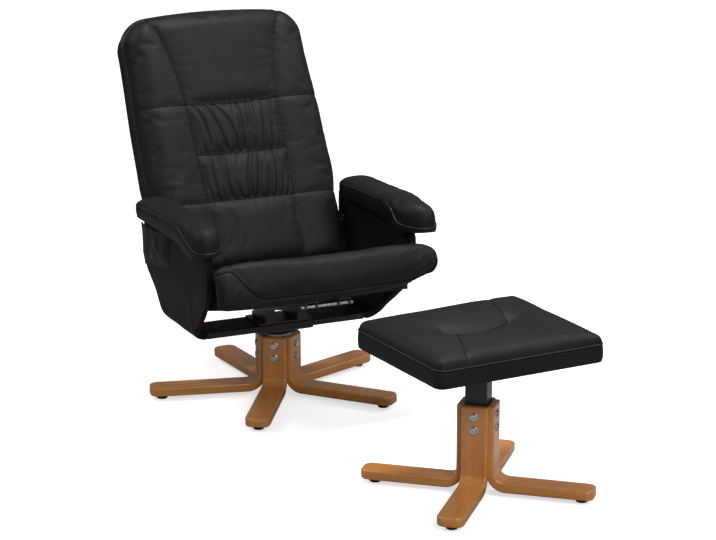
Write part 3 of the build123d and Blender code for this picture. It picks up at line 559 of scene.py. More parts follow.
def table(pairs):
    """A smooth function through pairs of a place and a value."""
    places, values = np.array(sorted(pairs)).T
    slopes = np.gradient(values, places)

    def curve(place):
        place = np.clip(place, places[0], places[-1])
        spot = np.clip(np.searchsorted(places, place) - 1, 0, len(places) - 2)
        run = places[spot + 1] - places[spot]
        t = (place - places[spot]) / run
        one, two = t * t * (3 - 2 * t), t * (1 - t)
        return (values[spot] * (1 - one) + values[spot + 1] * one
                + two * run * (slopes[spot] * (1 - t) - slopes[spot + 1] * t))
    return curve


def bend_line(points, step=line_step, closed=False):
    """A smooth line through points, with its own points about a step apart."""
    points = np.asarray(points, float)
    count = len(points)
    line = []
    for index in range(count if closed else count - 1):
        pick = [index - 1, index, index + 1, index + 2]
        if closed:
            before, first, last, after = points[[spot % count for spot in pick]]
        else:
            before, first, last, after = points[np.clip(pick, 0, count - 1)]
        pieces = max(1, int(np.linalg.norm(last - first) / step))
        for t in np.arange(pieces)[:, None] / pieces:
            line.append(0.5 * (2 * first + (last - before) * t
                               + (2 * before - 5 * first + 4 * last - after) * t ** 2
                               + (3 * first - before - 3 * last + after) * t ** 3))
    if not closed:
        line.append(points[-1])
    return np.array(line)


def tube(name, material, line, radius, closed=False):
    """A round cord along a line."""
    sides = 8
    line = np.asarray(line, float)
    ahead = np.roll(line, -1, 0) - np.roll(line, 1, 0)
    if not closed:
        ahead[0], ahead[-1] = line[1] - line[0], line[-1] - line[-2]
    ahead /= np.linalg.norm(ahead, axis=1, keepdims=True)
    helper = np.array([0.31, 0.47, 0.83])
    one = np.cross(ahead, helper)
    one /= np.linalg.norm(one, axis=1, keepdims=True)
    two = np.cross(ahead, one)
    turn = np.linspace(0, 2 * pi, sides, endpoint=False)
    rings = (line[:, None] + radius * (one[:, None] * np.cos(turn)[None, :, None]
                                       + two[:, None] * np.sin(turn)[None, :, None]))
    index = np.arange(len(line) * sides).reshape(-1, sides)
    last = np.roll(index, -1, 0) if closed else index[1:]
    first = index if closed else index[:-1]
    faces = np.stack([first, np.roll(first, -1, 1), np.roll(last, -1, 1), last], -1).reshape(-1, 4).tolist()
    if not closed:
        faces += [index[0][::-1].tolist(), index[-1].tolist()]
    return add_mesh(name, rings.reshape(-1, 3), faces, material)


def turned_out(piece):
    """Makes a closed piece's faces point outwards."""
    points = points_of(piece)
    volume = 0.0
    for face in piece.data.polygons:
        corners = [points[index] for index in face.vertices]
        for second, third in zip(corners[1:], corners[2:]):
            volume += np.dot(corners[0], np.cross(second, third))
    if volume < 0:
        piece.data.flip_normals()


def join(pieces, name):
    """Joins meshes of one material into one piece."""
    points, faces, base = [], [], 0
    for piece in pieces:
        own = points_of(piece)
        points.append(own)
        faces += [[base + index for index in polygon.vertices] for polygon in piece.data.polygons]
        base += len(own)
    material = pieces[0].data.materials[0]
    for piece in pieces:
        mesh = piece.data
        bpy.data.objects.remove(piece)
        bpy.data.meshes.remove(mesh)
    return add_mesh(name, np.concatenate(points), faces, material)


def tree_of(piece):
    """The piece's faces, sorted so that the nearest one is found fast."""
    return BVHTree.FromPolygons([tuple(point) for point in points_of(piece)],
                                [tuple(polygon.vertices) for polygon in piece.data.polygons])


def laid(tree, points, lift):
    """Points moved to the nearest place on a surface, and lifted off it."""
    seated = []
    for point in points:
        spot, normal, _, _ = tree.find_nearest(Vector(point))
        seated.append(spot + normal * lift)
    return np.array(seated)


def dropped(tree, points, way, lift, start=0.08):
    """Points dropped on to a surface along a direction, and lifted off it."""
    seated = []
    way = Vector(way)
    for point in points:
        hit = tree.ray_cast(Vector(point) - way * start, way)
        if hit[0] is None:
            hit = tree.find_nearest(Vector(point))
        seated.append(hit[0] - way * lift)
    return np.array(seated)


def stitches(name, line):
    """A row of short thread stitches along a line that lies on a surface."""
    stitch, gap, radius = 0.0048, 0.0022, 0.00042
    line = np.asarray(line, float)
    runs = np.linalg.norm(np.diff(line, axis=0), axis=1)
    travel = np.concatenate([[0], np.cumsum(runs)])
    turn = np.linspace(0, 2 * pi, 5, endpoint=False)
    points, faces = [], []
    for start in np.arange(0, travel[-1] - stitch, stitch + gap):
        spots = np.array([[np.interp(start + stitch * share, travel, line[:, axis]) for axis in range(3)]
                          for share in (0, 0.18, 0.82, 1)])
        ahead = spots[-1] - spots[0]
        ahead /= np.linalg.norm(ahead) + 1e-12
        one = np.cross(ahead, (0.31, 0.47, 0.83))
        one /= np.linalg.norm(one)
        two = np.cross(ahead, one)
        base = len(points)
        for spot, size in zip(spots, (0.45, 1, 1, 0.45)):
            points += list(spot + radius * size * (np.outer(np.cos(turn), one) + np.outer(np.sin(turn), two)))
        for ring in range(3):
            for side in range(5):
                after = (side + 1) % 5
                faces.append([base + ring * 5 + side, base + ring * 5 + after,
                              base + ring * 5 + 5 + after, base + ring * 5 + 5 + side])
        faces += [[base + side for side in range(4, -1, -1)], [base + 15 + side for side in range(5)]]
    return add_mesh(name, points, faces, finish("thread"))


def shade_cord(name, line, radius, closed=False):
    """A near-black cord of painted shade, laid in the bottom of a seam where its shade falls."""
    return tube(name, finish("shade_cord"), line, radius, closed)


def finish_node(name, material):
    """Gives a piece of the frame its finish."""
    data = nodes[name].data
    data.materials.clear()
    data.materials.append(material)


def soft(piece, body, *replaced, fill=0.7, slot="faux_leather"):
    """Attaches a padded piece to its body and hides the nodes that it stands for; its finish slot is not
    used.
    """
    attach(piece, body)
    if replaced:
        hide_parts(*replaced)


def trim(piece, body):
    """Attaches a welt, a cord of painted seam shade, thread or washers to its body."""
    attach(piece, body)


shared = {}


def finish(name):
    """A material that several pieces share, made once."""
    if name not in shared:
        leather, steel = settings("leather"), settings("steel")
        makers = {
            "leather": lambda: leather_finish("black_leather"),
            "welt": lambda: leather_finish("welt_leather", 1.3, -0.08, 0.42),
            "panel": lambda: leather_finish("panel_leather", 0.9, 0.05, 0.12),
            # shade_cord: the near-black finish of painted seam shade
            "shade_cord": seam_shade_finish,
            "thread": thread_finish,
            "steel": lambda: painted_steel("powder_coat", steel.black),
            "zinc": lambda: plated_steel("zinc_plate", steel.zinc),
            "turned": lambda: plated_steel("turned_steel", tinted(steel.zinc, 0.8), 0.32),
            "glide": lambda: moulded_finish("glide_plastic", (0.014, 0.014, 0.015)),
            "bush": lambda: moulded_finish("natural_nylon", (0.62, 0.60, 0.54), 0.45),
            "housing": lambda: moulded_finish("motor_housing", (0.05, 0.05, 0.055)),
            "socket": lambda: moulded_finish("socket_plastic", (0.012, 0.012, 0.012), 0.3),
            "plywood": lambda: plywood_finish("birch_ply", (0.56, 0.40, 0.23), (0.33, 0.20, 0.10)),
            "board": lambda: plywood_finish("painted_board", (0.010, 0.010, 0.011), (0.017, 0.017, 0.018)),
            "felt": lambda: felt_finish("dust_cloth", (0.006, 0.006, 0.0065)),
        }
        shared[name] = makers[name]()
    return shared[name]


# Back

BACK_ORIGIN = np.array([0, 0.179, 0.520])
BACK_UP = np.array([0, sin(back_tilt), cos(back_tilt)])
ACROSS = np.array([1.0, 0, 0])
back_place = axes(BACK_ORIGIN, ACROSS, BACK_UP)
back_local = inverse(BACK_ORIGIN, ACROSS, BACK_UP)
# The back's plan: half its width at its top, and its two ends
back_half = 0.279
back_low = -0.204
back_high = 0.577
# Its rear face, how far its boxed side bulges, the level of its welt, the width of its rounded
# shoulder, the round of its top corners, and where its sides start to follow the top's bow
back_rear = -0.0776
back_rim = 0.0090
back_rim_level = -0.056
back_shoulder = 0.056
back_corner = 0.080
bow_start = 0.40
# The seams across the back: their heights and how far they sag between the long seams
cross_seams = (0.0, 0.139, 0.289)
cross_bows = (0.0015, 0.005, 0.0065)
# How far the long seams lie from the middle, from the back's lower to its upper end
long_seam = table([(back_low, 0.130), (0, 0.133), (0.139, 0.1365), (0.289, 0.1405), (0.365, 0.148),
                   (0.433, 0.160), (0.490, 0.175), (0.541, 0.196), (0.584, 0.214)])
# Gathered folds of the back: the line of each one as across and along from its upper to its lower
# end, its width and its depth as a share of the deepest
upper_folds = [
    ([(-0.121, 0.286), (-0.115, 0.273), (-0.103, 0.242), (-0.096, 0.200), (-0.092, 0.160)], 0.0052, 0.8),
    ([(-0.089, 0.285), (-0.082, 0.270), (-0.067, 0.231), (-0.054, 0.185), (-0.047, 0.148)], 0.0060, 1.0),
    ([(-0.061, 0.284), (-0.049, 0.263), (-0.029, 0.228), (-0.017, 0.178), (-0.017, 0.140)], 0.0062, 1.0),
    ([(0.008, 0.284), (0.009, 0.239), (0.006, 0.194), (0.006, 0.140)], 0.0058, 1.0),
    ([(0.040, 0.284), (0.036, 0.244), (0.031, 0.205)], 0.0048, 0.8),
    ([(-0.007, 0.284), (-0.004, 0.252)], 0.0042, 0.6),
    ([(0.092, 0.286), (0.087, 0.254), (0.077, 0.185), (0.075, 0.142)], 0.0058, 0.9),
    ([(0.108, 0.215), (0.104, 0.185), (0.101, 0.142)], 0.0046, 0.7),
    ([(0.061, 0.284), (0.060, 0.246)], 0.0042, 0.5), ([(0.121, 0.288), (0.118, 0.255)], 0.0040, 0.5),
    ([(-0.074, 0.168), (-0.071, 0.140)], 0.0042, 0.55), ([(0.044, 0.172), (0.045, 0.140)], 0.0045, 0.6),
    ([(-0.113, 0.172), (-0.109, 0.140)], 0.0038, 0.5)]
lower_folds = [
    ([(0.022, 0.135), (0.020, 0.122), (0.009, 0.090), (0.000, 0.046), (0.003, 0.002)], 0.0062, 1.0),
    ([(0.049, 0.136), (0.037, 0.072), (0.023, 0.014), (0.021, 0.002)], 0.0060, 0.95),
    ([(0.092, 0.137), (0.095, 0.098), (0.090, 0.046), (0.080, 0.002)], 0.0058, 1.0),
    ([(0.110, 0.137), (0.106, 0.088), (0.110, 0.052), (0.097, 0.002)], 0.0046, 0.8),
    ([(0.070, 0.088), (0.066, 0.060), (0.057, 0.002)], 0.0052, 0.8),
    ([(-0.063, 0.135), (-0.067, 0.090), (-0.066, 0.046), (-0.058, 0.002)], 0.0060, 0.9),
    ([(-0.100, 0.138), (-0.105, 0.085), (-0.099, 0.002)], 0.0055, 0.8),
    ([(-0.038, 0.052), (-0.034, 0.020), (-0.030, 0.002)], 0.0050, 0.8),
    ([(0.127, 0.046), (0.119, 0.014), (0.116, 0.002)], 0.0044, 0.6),
    ([(-0.018, 0.136), (-0.024, 0.100)], 0.0050, 0.6), ([(-0.086, 0.137), (-0.087, 0.108)], 0.0040, 0.5),
    ([(-0.083, 0.036), (-0.079, 0.002)], 0.0042, 0.55), ([(0.072, 0.137), (0.073, 0.118)], 0.0042, 0.5),
    ([(-0.118, 0.040), (-0.116, 0.002)], 0.0042, 0.5)]
# Soft folds of the plain panel below the lowest seam
lumbar_folds = [
    ([(-0.078, -0.020), (-0.074, -0.045), (-0.068, -0.075), (-0.078, -0.108), (-0.100, -0.150)],
     0.011, 1.0),
    ([(-0.046, -0.085), (-0.041, -0.118), (-0.050, -0.150)], 0.009, 0.5),
    ([(0.122, -0.010), (0.129, -0.045), (0.126, -0.085)], 0.008, 0.8),
    ([(0.082, -0.015), (0.092, -0.048), (0.090, -0.080)], 0.009, 0.6),
    ([(-0.128, -0.020), (-0.140, -0.070), (-0.150, -0.120)], 0.012, 0.7)]
# Creases that run in from the sides at the back's middle: their side, height and slope
flank_creases = ((-1, 0.095, 0.20), (-1, 0.062, 0.12), (-1, 0.040, 0.05), (1, 0.115, 0.30), (1, 0.060, 0.20))
# Half width of the back from its lower to its upper end
back_width = table([(back_low, 0.262), (-0.160, 0.272), (-0.112, 0.281), (-0.060, 0.283), (0.010, 0.2835),
                    (0.056, 0.2905), (0.147, 0.2900), (0.238, 0.2885), (0.330, 0.2845), (0.420, 0.2805),
                    (0.490, back_half), (back_high, back_half)])


def top_bow(across, along, high):
    """How far the back's top edge drops towards its corners."""
    return 0.0088 * (across / 0.18) ** 2 * smooth_step((along - bow_start) / (high - bow_start))


def back_plan(u, v):
    """The back's grid: its columns follow the long seams and its top corners are rounded."""
    half = back_width(v) - back_rim
    seam = long_seam(v)
    outer = seam + (half - seam) * (np.abs(u) - 0.5) * 2
    a = np.sign(u) * np.where(np.abs(u) < 0.5, seam * np.abs(u) * 2, outer)
    a, b = round_corner(a, v, back_half - back_rim, back_low, back_high, 0, back_corner)
    return a, b - top_bow(a, b, back_high)


def back_front(u, v, a, b):
    """Height of the back's front skin: panels that swell between the seams and roll off at the rim."""
    crown = settings("back").crown
    inner = np.abs(u) * 2
    outer = np.clip((np.abs(u) - 0.5) * 2, 0, 1)
    unbowed = b + top_bow(a, v, back_high)
    half = back_width(v) - back_rim
    inside = inside_of(a, unbowed, half, back_low, back_high, 0.020, back_corner)
    height = back_rim_level * roll_off(inside, back_shoulder, 2.4)
    fade = np.clip(inside / back_shoulder, 0, 1) ** 0.6
    pinch = sum(hump((v - seam) / 0.017) for seam in cross_seams)
    head = smooth_step((v - 0.30) / 0.08)
    dome = np.clip(np.cos(inner * pi / 2), 0, 1) ** 0.7
    swell = np.where(inner < 1, dome * (1 - 0.62 * np.clip(pinch, 0, 1)), 0)
    side_pinch = hump((v - cross_seams[0]) / 0.017) + hump((v - cross_seams[2]) / 0.017)
    flank = np.sin(outer * pi) ** 0.9 * (1 - 0.30 * np.clip(side_pinch, 0, 1))
    return height + crown * fade * (swell * (1 - 0.15 * head) + 0.55 * flank)


def fold_depth(across, along, folds, fade_top, fade_low):
    """Depth of the gathered folds: each one a valley with a soft ridge at both its sides."""
    depth = np.zeros_like(across)
    for line, width, deep in folds:
        line = np.array(line)[::-1]
        smooth = bend_line(line)
        middle = np.interp(along, smooth[:, 1], smooth[:, 0])
        slope = np.interp(along, smooth[:, 1], np.gradient(smooth[:, 0], smooth[:, 1]))
        away = (across - middle) / np.sqrt(1 + slope ** 2) / width
        start = smooth_step((along - line[0, 1] + fade_low) / 0.022)
        end = smooth_step((line[-1, 1] + fade_top - along) / 0.022)
        depth += deep * start * end * (np.exp(-np.abs(away) ** 1.7) - 0.30 * hump((np.abs(away) - 2.0) / 0.9))
    return depth


def ripples(place, away, pitch, reach, height):
    """Small puckers beside a seam: they run square to it and die away."""
    wander = np.sin(place * 41 + 1.3) * 1.7 + np.sin(place * 97) * 0.9
    size = 0.55 + 0.45 * np.sin(place * 23 + 2.1)
    return height * size * np.sin(place / pitch * 2 * pi + wander) * np.exp(-np.abs(away) / reach)


def valley(away, sharp=0.0026, soft=0.011, share=0.45):
    """Section of a sewn seam: a sharp line in a soft valley."""
    return np.exp(-np.abs(away) / sharp) + share * hump(away / soft)


def back_details(piece):
    """Seams, gathers and soft creases of the back's front skin."""
    back = settings("back")
    points = points_of(piece)
    x, s, n = back_local(points).T
    seam = long_seam(s)
    front = smooth_step((n + 0.060) / 0.014)
    across = x / seam
    within = smooth_step((1 - np.abs(across)) / 0.03)
    shift = np.zeros(len(points))
    for side in (-1, 1):
        away = x - side * seam
        reach = smooth_step((s + 0.006) / 0.004)
        shift -= back.seam * reach * valley(away)
        shift += ripples(s + side * 0.013, away, 0.0155, 0.011, 0.0006) * reach
    inner_depths, outer_depths = (1.15, 1.2, 1.2), (0.65, 0.0, 0.65)
    for level, bow, inner_depth, outer_depth in zip(cross_seams, cross_bows, inner_depths, outer_depths):
        away = s - level + bow * np.cos(np.clip(across, -1, 1) * pi / 2)
        depth = outer_depth + (inner_depth - outer_depth) * within
        shift -= back.seam * depth * valley(away)
        shift += ripples(x * 1.07 + level, away, 0.0170, 0.010, 0.0007) * np.minimum(depth, 1)
    upper = within * smooth_step((s - 0.1375) / 0.004) * smooth_step((0.2865 - s) / 0.004)
    lower = within * smooth_step((s - 0.001) / 0.004) * smooth_step((0.1345 - s) / 0.004)
    shift -= back.fold * upper * fold_depth(x, s, upper_folds, 0.012, 0.012)
    shift -= back.fold * lower * fold_depth(x, s, lower_folds, 0.012, 0.012)
    shift -= 0.0032 * fold_depth(x, s, lumbar_folds, 0.0, 0.0) * smooth_step(-s / 0.006)
    for side, level, lean in flank_creases:
        across_line = s - level - lean * (side * x - 0.16)
        shift -= 0.0013 * hump(across_line / 0.008) * hump((side * x - 0.215) / 0.040)
    set_points(piece, points + (shift * front)[:, None] * normals_of(piece))


class ARMCHAIR_OT_back(bpy.types.Operator):
    """Back cushion, with its seams, gathers and welt, and the cover behind it"""
    bl_idname = "armchair.back"
    bl_label = "Back"

    def execute(self, context):
        side_columns = eased(0.5, 1, 19)
        columns = np.concatenate([-side_columns[::-1], spaced(-0.5, 0.5, 0.0205)[1:-1], side_columns])
        rows = np.concatenate([spaced(back_low, back_high - 0.075, 0.0068, cross_seams)[:-1],
                               eased(back_high - 0.075, back_high, 15)])
        band = [(0.15, 0.0040), (0.38, 0.0080), (0.65, 0.0088), (0.88, 0.0050)]
        cushion, skin = pillow("back_padding", finish("leather"), columns, rows, back_plan, back_front,
                               level_skin(back_rear), band, back_place)
        local = back_local(points_of(cushion))
        seam = long_seam(local[:, 1])
        across = np.abs(local[:, 0])
        held = (skin > 0) | (np.abs(across - seam) < 0.0028)
        for level in cross_seams:
            on_seam = np.abs(local[:, 1] - level) < 0.0034
            held |= on_seam & ((across < seam) | (level != cross_seams[1]))
        inflate(cushion, held, 3.0, 0.005, 0.006)
        subdivide(cushion)
        back_details(cushion)
        soft(cushion, "back", "back_cushion", fill=0.75)
        self.trims(tree_of(cushion), columns, rows)
        self.rear()
        return {"FINISHED"}

    def trims(self, tree, columns, rows):
        """The welt round the front, cords of painted shade in the seams and the thread beside them."""
        out = tuple(-np.cross(ACROSS, BACK_UP))
        welt_rows = rows[rows > back_low + 0.002]
        crest = edge_of(back_plan, columns[1:-1], back_high)
        right, left = edge_of(back_plan, -1, welt_rows), edge_of(back_plan, 1, welt_rows)
        rim = np.concatenate([right, crest, left[::-1]])
        rim = back_place(raised(rim, back_rim_level))
        trim(tube("back_welt", finish("welt"), laid(tree, rim, 0.0), 0.0016), "back")
        rows_of_thread = []
        creases = []

        def on_front(across, along, lift):
            """A line of the back's plan, dropped on to its front."""
            line = back_place(np.column_stack([across, along, np.zeros(len(across))]))
            return dropped(tree, line, out, lift)

        # Near-black cords of painted shade lie in the valleys of the long and the cross seams
        for side in (-1, 1):
            s = np.arange(0.002, 0.556, line_step)
            creases.append(shade_cord("shade_cord", on_front(side * long_seam(s), s, shade_cord_lift), 0.0009))
            s = np.arange(0.004, 0.560, line_step)
            for gap in (-0.0050, 0.0050):
                line = on_front(side * long_seam(s) + gap, s, thread_lift)
                rows_of_thread.append(stitches("seam", line))
        for level, bow, reach in zip(cross_seams, cross_bows, (0.255, 0.130, 0.255)):
            x = np.arange(-reach, reach, line_step)
            sag = bow * np.cos(np.clip(x / long_seam(level), -1, 1) * pi / 2)
            creases.append(shade_cord("shade_cord", on_front(x, level - sag, shade_cord_lift), 0.0009))
            rows_of_thread.append(stitches("seam", on_front(x, level + 0.0055 - sag, thread_lift)))
        trim(join(creases, "back_seam_shade"), "back")
        trim(join(rows_of_thread, "back_stitching"), "back")

    def rear(self):
        """Padded cover over the back's rear, with a welt round it."""
        inset, corner = 0.006, 0.074
        cover_front, cover_rim, cover_crown = -0.0765, -0.1065, 0.004
        low, high, half = back_low + inset, back_high - inset, back_half - inset

        def plan(u, v):
            a, b = round_corner(u * (back_width(v) - inset), v, half, low, high, 0, corner)
            return a, b - top_bow(a, b, high)

        def outside(u, v, a, b):
            drop = roll_off(inside_of(a, b, half, low, high, 0.01, corner), 0.05)
            return cover_rim - cover_crown * (1 - drop)

        rows = spaced(low, high, 0.012)
        cover, _ = pillow("rear_cover_leather", finish("panel"), spaced(-1, 1, 0.04), rows, plan,
                          level_skin(cover_front), outside, [(0.2, 0.001), (0.5, 0.0022), (0.8, 0.0012)],
                          back_place)
        turned_out(cover)
        subdivide(cover)
        soft(cover, "back", "back_rear_cover", "back_board", fill=0.3)
        crest = edge_of(plan, np.linspace(-0.98, 0.98, 60), high)
        rim = np.concatenate([edge_of(plan, -1, rows), crest, edge_of(plan, 1, rows)[::-1]])
        rim = back_place(raised(rim, cover_rim + 0.001))
        trim(tube("rear_cover_welt", finish("welt"), laid(tree_of(cover), rim, welt_lift), 0.0018), "back")


# Seat

SEAT_ORIGIN = np.array([0, -0.375, 0.366])
SEAT_ALONG = np.array([0, cos(seat_tilt), -sin(seat_tilt)])
seat_place = axes(SEAT_ORIGIN, ACROSS, SEAT_ALONG)
seat_local = inverse(SEAT_ORIGIN, ACROSS, SEAT_ALONG)
seat_half = 0.268
# The front roll: its ends' distances from the middle, half its width at its rear, how far its front
# bows, and the depth that its ends close in on. The padding hangs unevenly, so its ends aren't alike
roll_right = 0.314
roll_left = 0.337
roll_rear_half = 0.284
roll_bow = 0.013
roll_heart = 0.024
# Heights of the roll's upper and lower edges from its right to its left end
roll_top = table([(-roll_right, 0.1020), (-0.309, 0.1120), (-0.296, 0.1190), (-0.270, 0.1224), (0, 0.1225),
                  (0.262, 0.1225), (0.290, 0.1205), (0.310, 0.1145), (0.324, 0.1050), (0.333, 0.0920),
                  (roll_left, 0.0790)])
roll_low = table([(-roll_right, 0.0170), (-0.309, 0.0080), (-0.296, 0.0025), (-0.270, 0.0005), (0, 0.0005),
                  (0.100, 0.0010), (0.164, 0.0050), (0.236, 0.0160), (0.292, 0.0320), (0.318, 0.0410),
                  (0.330, 0.0550), (roll_left, 0.0730)])
# Section of the roll: places from its front to its rear, and their heights
roll_profile = [(0.006, 0.002), (0.040, 0.0005), (0.074, 0.002), (0.0765, 0.045), (0.074, 0.090),
                (0.056, 0.1145), (0.032, 0.1225), (0.012, 0.1145), (0.0015, 0.094), (-0.0055, 0.060),
                (-0.0035, 0.024)]
# Seam of the roll's front: across from the middle, and up the front
roll_seam = [(-0.310, 0.0995), (-0.297, 0.1020), (-0.285, 0.1040), (-0.273, 0.1035), (-0.262, 0.0950),
             (-0.248, 0.0730), (-0.232, 0.0540), (-0.214, 0.0360), (-0.196, 0.0250), (-0.170, 0.0220),
             (0.0, 0.0215), (0.128, 0.0240), (0.238, 0.0270), (0.291, 0.0390), (0.318, 0.0580),
             (0.331, 0.0780)]
# Soft creases of the roll's front: place across, lean, width and depth
roll_creases = ((-0.278, 0.5, 0.010, 0.0010), (-0.245, 0.9, 0.012, 0.0012), (0.232, -0.8, 0.013, 0.0012),
                (0.268, -1.0, 0.009, 0.0008))
# The pad: its ends along the seat, its underside's height, and how far its side seams lie out
pad_front = 0.058
pad_rear = 0.440
pad_under = 0.0155
pad_seam = 0.225


def roll_front(x):
    """How far the roll's front has bent back at a place across it."""
    return roll_bow * (x / roll_left) ** 2


def roll_mesh():
    """The front roll: one closed section moved across the seat, rounded off towards its ends."""
    section = bend_line(roll_profile, 0.0058, closed=True)
    low, high = section[:, 1].min(), section[:, 1].max()
    straight = 0.270
    right, left = eased(straight, roll_right, 14, 1.8), eased(straight, roll_left, 18, 1.8)
    stations = np.concatenate([-right[::-1], spaced(-straight, straight, 0.0066)[1:-1], left])
    points = []
    for x in stations:
        end, rounding = (roll_right, 0.034) if x < 0 else (roll_left, 0.062)
        share = np.clip(1 - (end - abs(x)) / rounding, 0, 1)
        deep = 0.12 + 0.88 * (1 - share ** 2.4) ** (1 / 2.4)
        bottom, top = roll_low(x), roll_top(x)
        y = roll_heart + (section[:, 0] - roll_heart) * deep
        h = bottom + (section[:, 1] - low) * (top - bottom) / (high - low)
        front = smooth_step((0.06 - y) / 0.06)
        narrow = smooth_step((y - 0.016) / 0.050)
        across = x * (1 - (1 - roll_rear_half / end) * narrow)
        points.append(np.column_stack([across, y + roll_front(x) * front, h]))
    count = len(section)
    caps = []
    for end, x in ((0, -1), (-1, 1)):
        for share in (0.8, 0.5, 0.2):
            heart_of_end = points[end].mean(0)
            inner = heart_of_end + (points[end] - heart_of_end) * share
            inner[:, 0] += x * 0.0012 * (1 - share)
            caps.append(inner)
    rings = caps[:3][::-1] + points + caps[3:]
    index = np.arange(len(rings) * count).reshape(-1, count)
    faces = np.stack([index[:-1], np.roll(index[:-1], -1, 1), np.roll(index[1:], -1, 1), index[1:]], -1)
    faces = faces.reshape(-1, 4).tolist() + [index[0].tolist(), index[-1][::-1].tolist()]
    return np.concatenate(rings), faces


class ARMCHAIR_OT_seat(bpy.types.Operator):
    """Seat: the front roll with its seam, the pad behind it and the dust cloth below"""
    bl_idname = "armchair.seat"
    bl_label = "Seat"

    def execute(self, context):
        points, faces = roll_mesh()
        roll = add_mesh("seat_roll", seat_place(points), faces, finish("leather"))
        turned_out(roll)
        x, y, h = seat_local(points_of(roll)).T
        seam = bend_line(roll_seam)
        level = np.interp(x, seam[:, 0], seam[:, 1])
        held = (np.abs(h - level) < 0.004) & (y < 0.03)
        held |= (h < 0.012) | (y > 0.066) | (x > roll_left - 0.014) | (x < -roll_right + 0.014)
        inflate(roll, held, 3.0, 0.005, 0.008)
        subdivide(roll)
        self.roll_details(roll, seam)
        soft(roll, "seat", "seat_cushion", fill=0.8)
        tree = tree_of(roll)

        def on_front(line, lift):
            """A line of the roll's front elevation, dropped on to its front."""
            before = seat_place(np.column_stack([line[:, 0], np.full(len(line), -0.02), line[:, 1]]))
            return dropped(tree, before, tuple(SEAT_ALONG), lift, 0.03)

        # A near-black cord of painted shade in the roll's seam
        trim(shade_cord("roll_seam_shade", on_front(seam, shade_cord_lift), 0.0010), "seat")
        above = seam * [0.985, 1] + [0, 0.0055]
        trim(stitches("roll_stitching", on_front(above, thread_lift)), "seat")
        self.pad()
        finish_node("seat_board", finish("felt"))
        return {"FINISHED"}

    def roll_details(self, roll, seam):
        """The seam's valley and a few soft creases."""
        points = points_of(roll)
        x, y, h = seat_local(points).T
        level = np.interp(x, seam[:, 0], seam[:, 1])
        slope = np.interp(x, seam[:, 0], np.gradient(seam[:, 1], seam[:, 0]))
        away = (h - level) / np.sqrt(1 + slope ** 2)
        front = smooth_step((0.034 + roll_front(x) - y) / 0.02)
        shift = -0.0024 * front * valley(away)
        shift += front * ripples(x, away, 0.019, 0.012, 0.0004)
        for place, lean, width, deep in roll_creases:
            shift -= front * deep * hump((x - place - lean * (h - 0.05)) / width) * hump((h - 0.055) / 0.030)
        shift += 0.0009 * np.sin(x * 31 + 1) * hump((h - 0.118) / 0.02) * (1 - hump(x / 0.3) * 0.4)
        set_points(roll, points + shift[:, None] * normals_of(roll))

    def pad(self):
        """The seat's pad between the side panels."""
        def plan(u, v):
            a, b = round_corner(u * seat_half, v, seat_half, pad_front, pad_rear, 0.012, 0.045)
            return a * (1 - 0.045 * smooth_step((b - 0.22) / 0.16)), b

        def upper(u, v, a, b):
            run = (v - pad_front) / (pad_rear - pad_front)
            edge = np.clip(np.abs(u) ** 6 + np.clip((run - 0.86) / 0.14, 0, 1) ** 4, 0, 1)
            dish = 0.102 - 0.010 * run + 0.004 * np.sin(run * pi) - 0.010 * hump((run - 0.02) / 0.10)
            return dish + 0.010 * (1 - np.abs(u) ** 2.4) - 0.020 * (1 - np.sqrt(1 - edge))

        rows = spaced(pad_front, pad_rear, 0.0085)
        pad, skin = pillow("seat_pad", finish("leather"), spaced(-1, 1, 0.031), rows, plan, upper,
                           level_skin(pad_under), [(0.15, 0.003), (0.4, 0.006), (0.7, 0.005), (0.92, 0.001)],
                           seat_place)
        inflate(pad, skin > 0, 2.5, 0.005, 0.008)
        subdivide(pad)
        points = points_of(pad)
        x, y, h = seat_local(points).T
        up = smooth_step((h - 0.07) / 0.02)
        from_seam = np.abs(x) - pad_seam
        shift = -0.0035 * hump(from_seam / 0.004) * up
        shift += ripples(y, from_seam, 0.018, 0.014, 0.0006) * up
        for start, lean in ((-0.12, 0.3), (0.02, -0.1), (0.15, -0.35)):
            shift -= 0.0016 * up * hump((x - start - lean * (y - 0.25)) / 0.02) * hump((y - 0.36) / 0.06)
        set_points(pad, points + shift[:, None] * normals_of(pad))
        soft(pad, "seat", fill=0.7)


# Armrests

arm_half = 0.0475
arm_middle = 0.3085
arm_front = -0.308
arm_rear = 0.154
arm_corner = 0.045
arm_rear_corner = 0.006
# Heights of an arm pad's welt, of its crown and of its underside, from its nose to its rear
arm_edge = table([(-0.301, 0.5085), (-0.285, 0.5110), (-0.263, 0.5185), (-0.224, 0.5320), (-0.184, 0.5465),
                  (-0.150, 0.5540), (-0.077, 0.5530), (0.008, 0.5500), (0.094, 0.5465), (0.164, 0.5420)])
arm_ridge = table([(-0.301, 0.566), (-0.241, 0.5715), (-0.190, 0.5755), (-0.080, 0.5715), (0.015, 0.5685),
                   (0.090, 0.5660), (0.164, 0.5600)])
arm_under = table([(-0.301, 0.4985), (-0.285, 0.4915), (-0.262, 0.4865), (-0.234, 0.4875), (-0.190, 0.4985),
                   (-0.168, 0.5055), (-0.150, 0.5095), (-0.120, 0.5095), (0.164, 0.5095)])


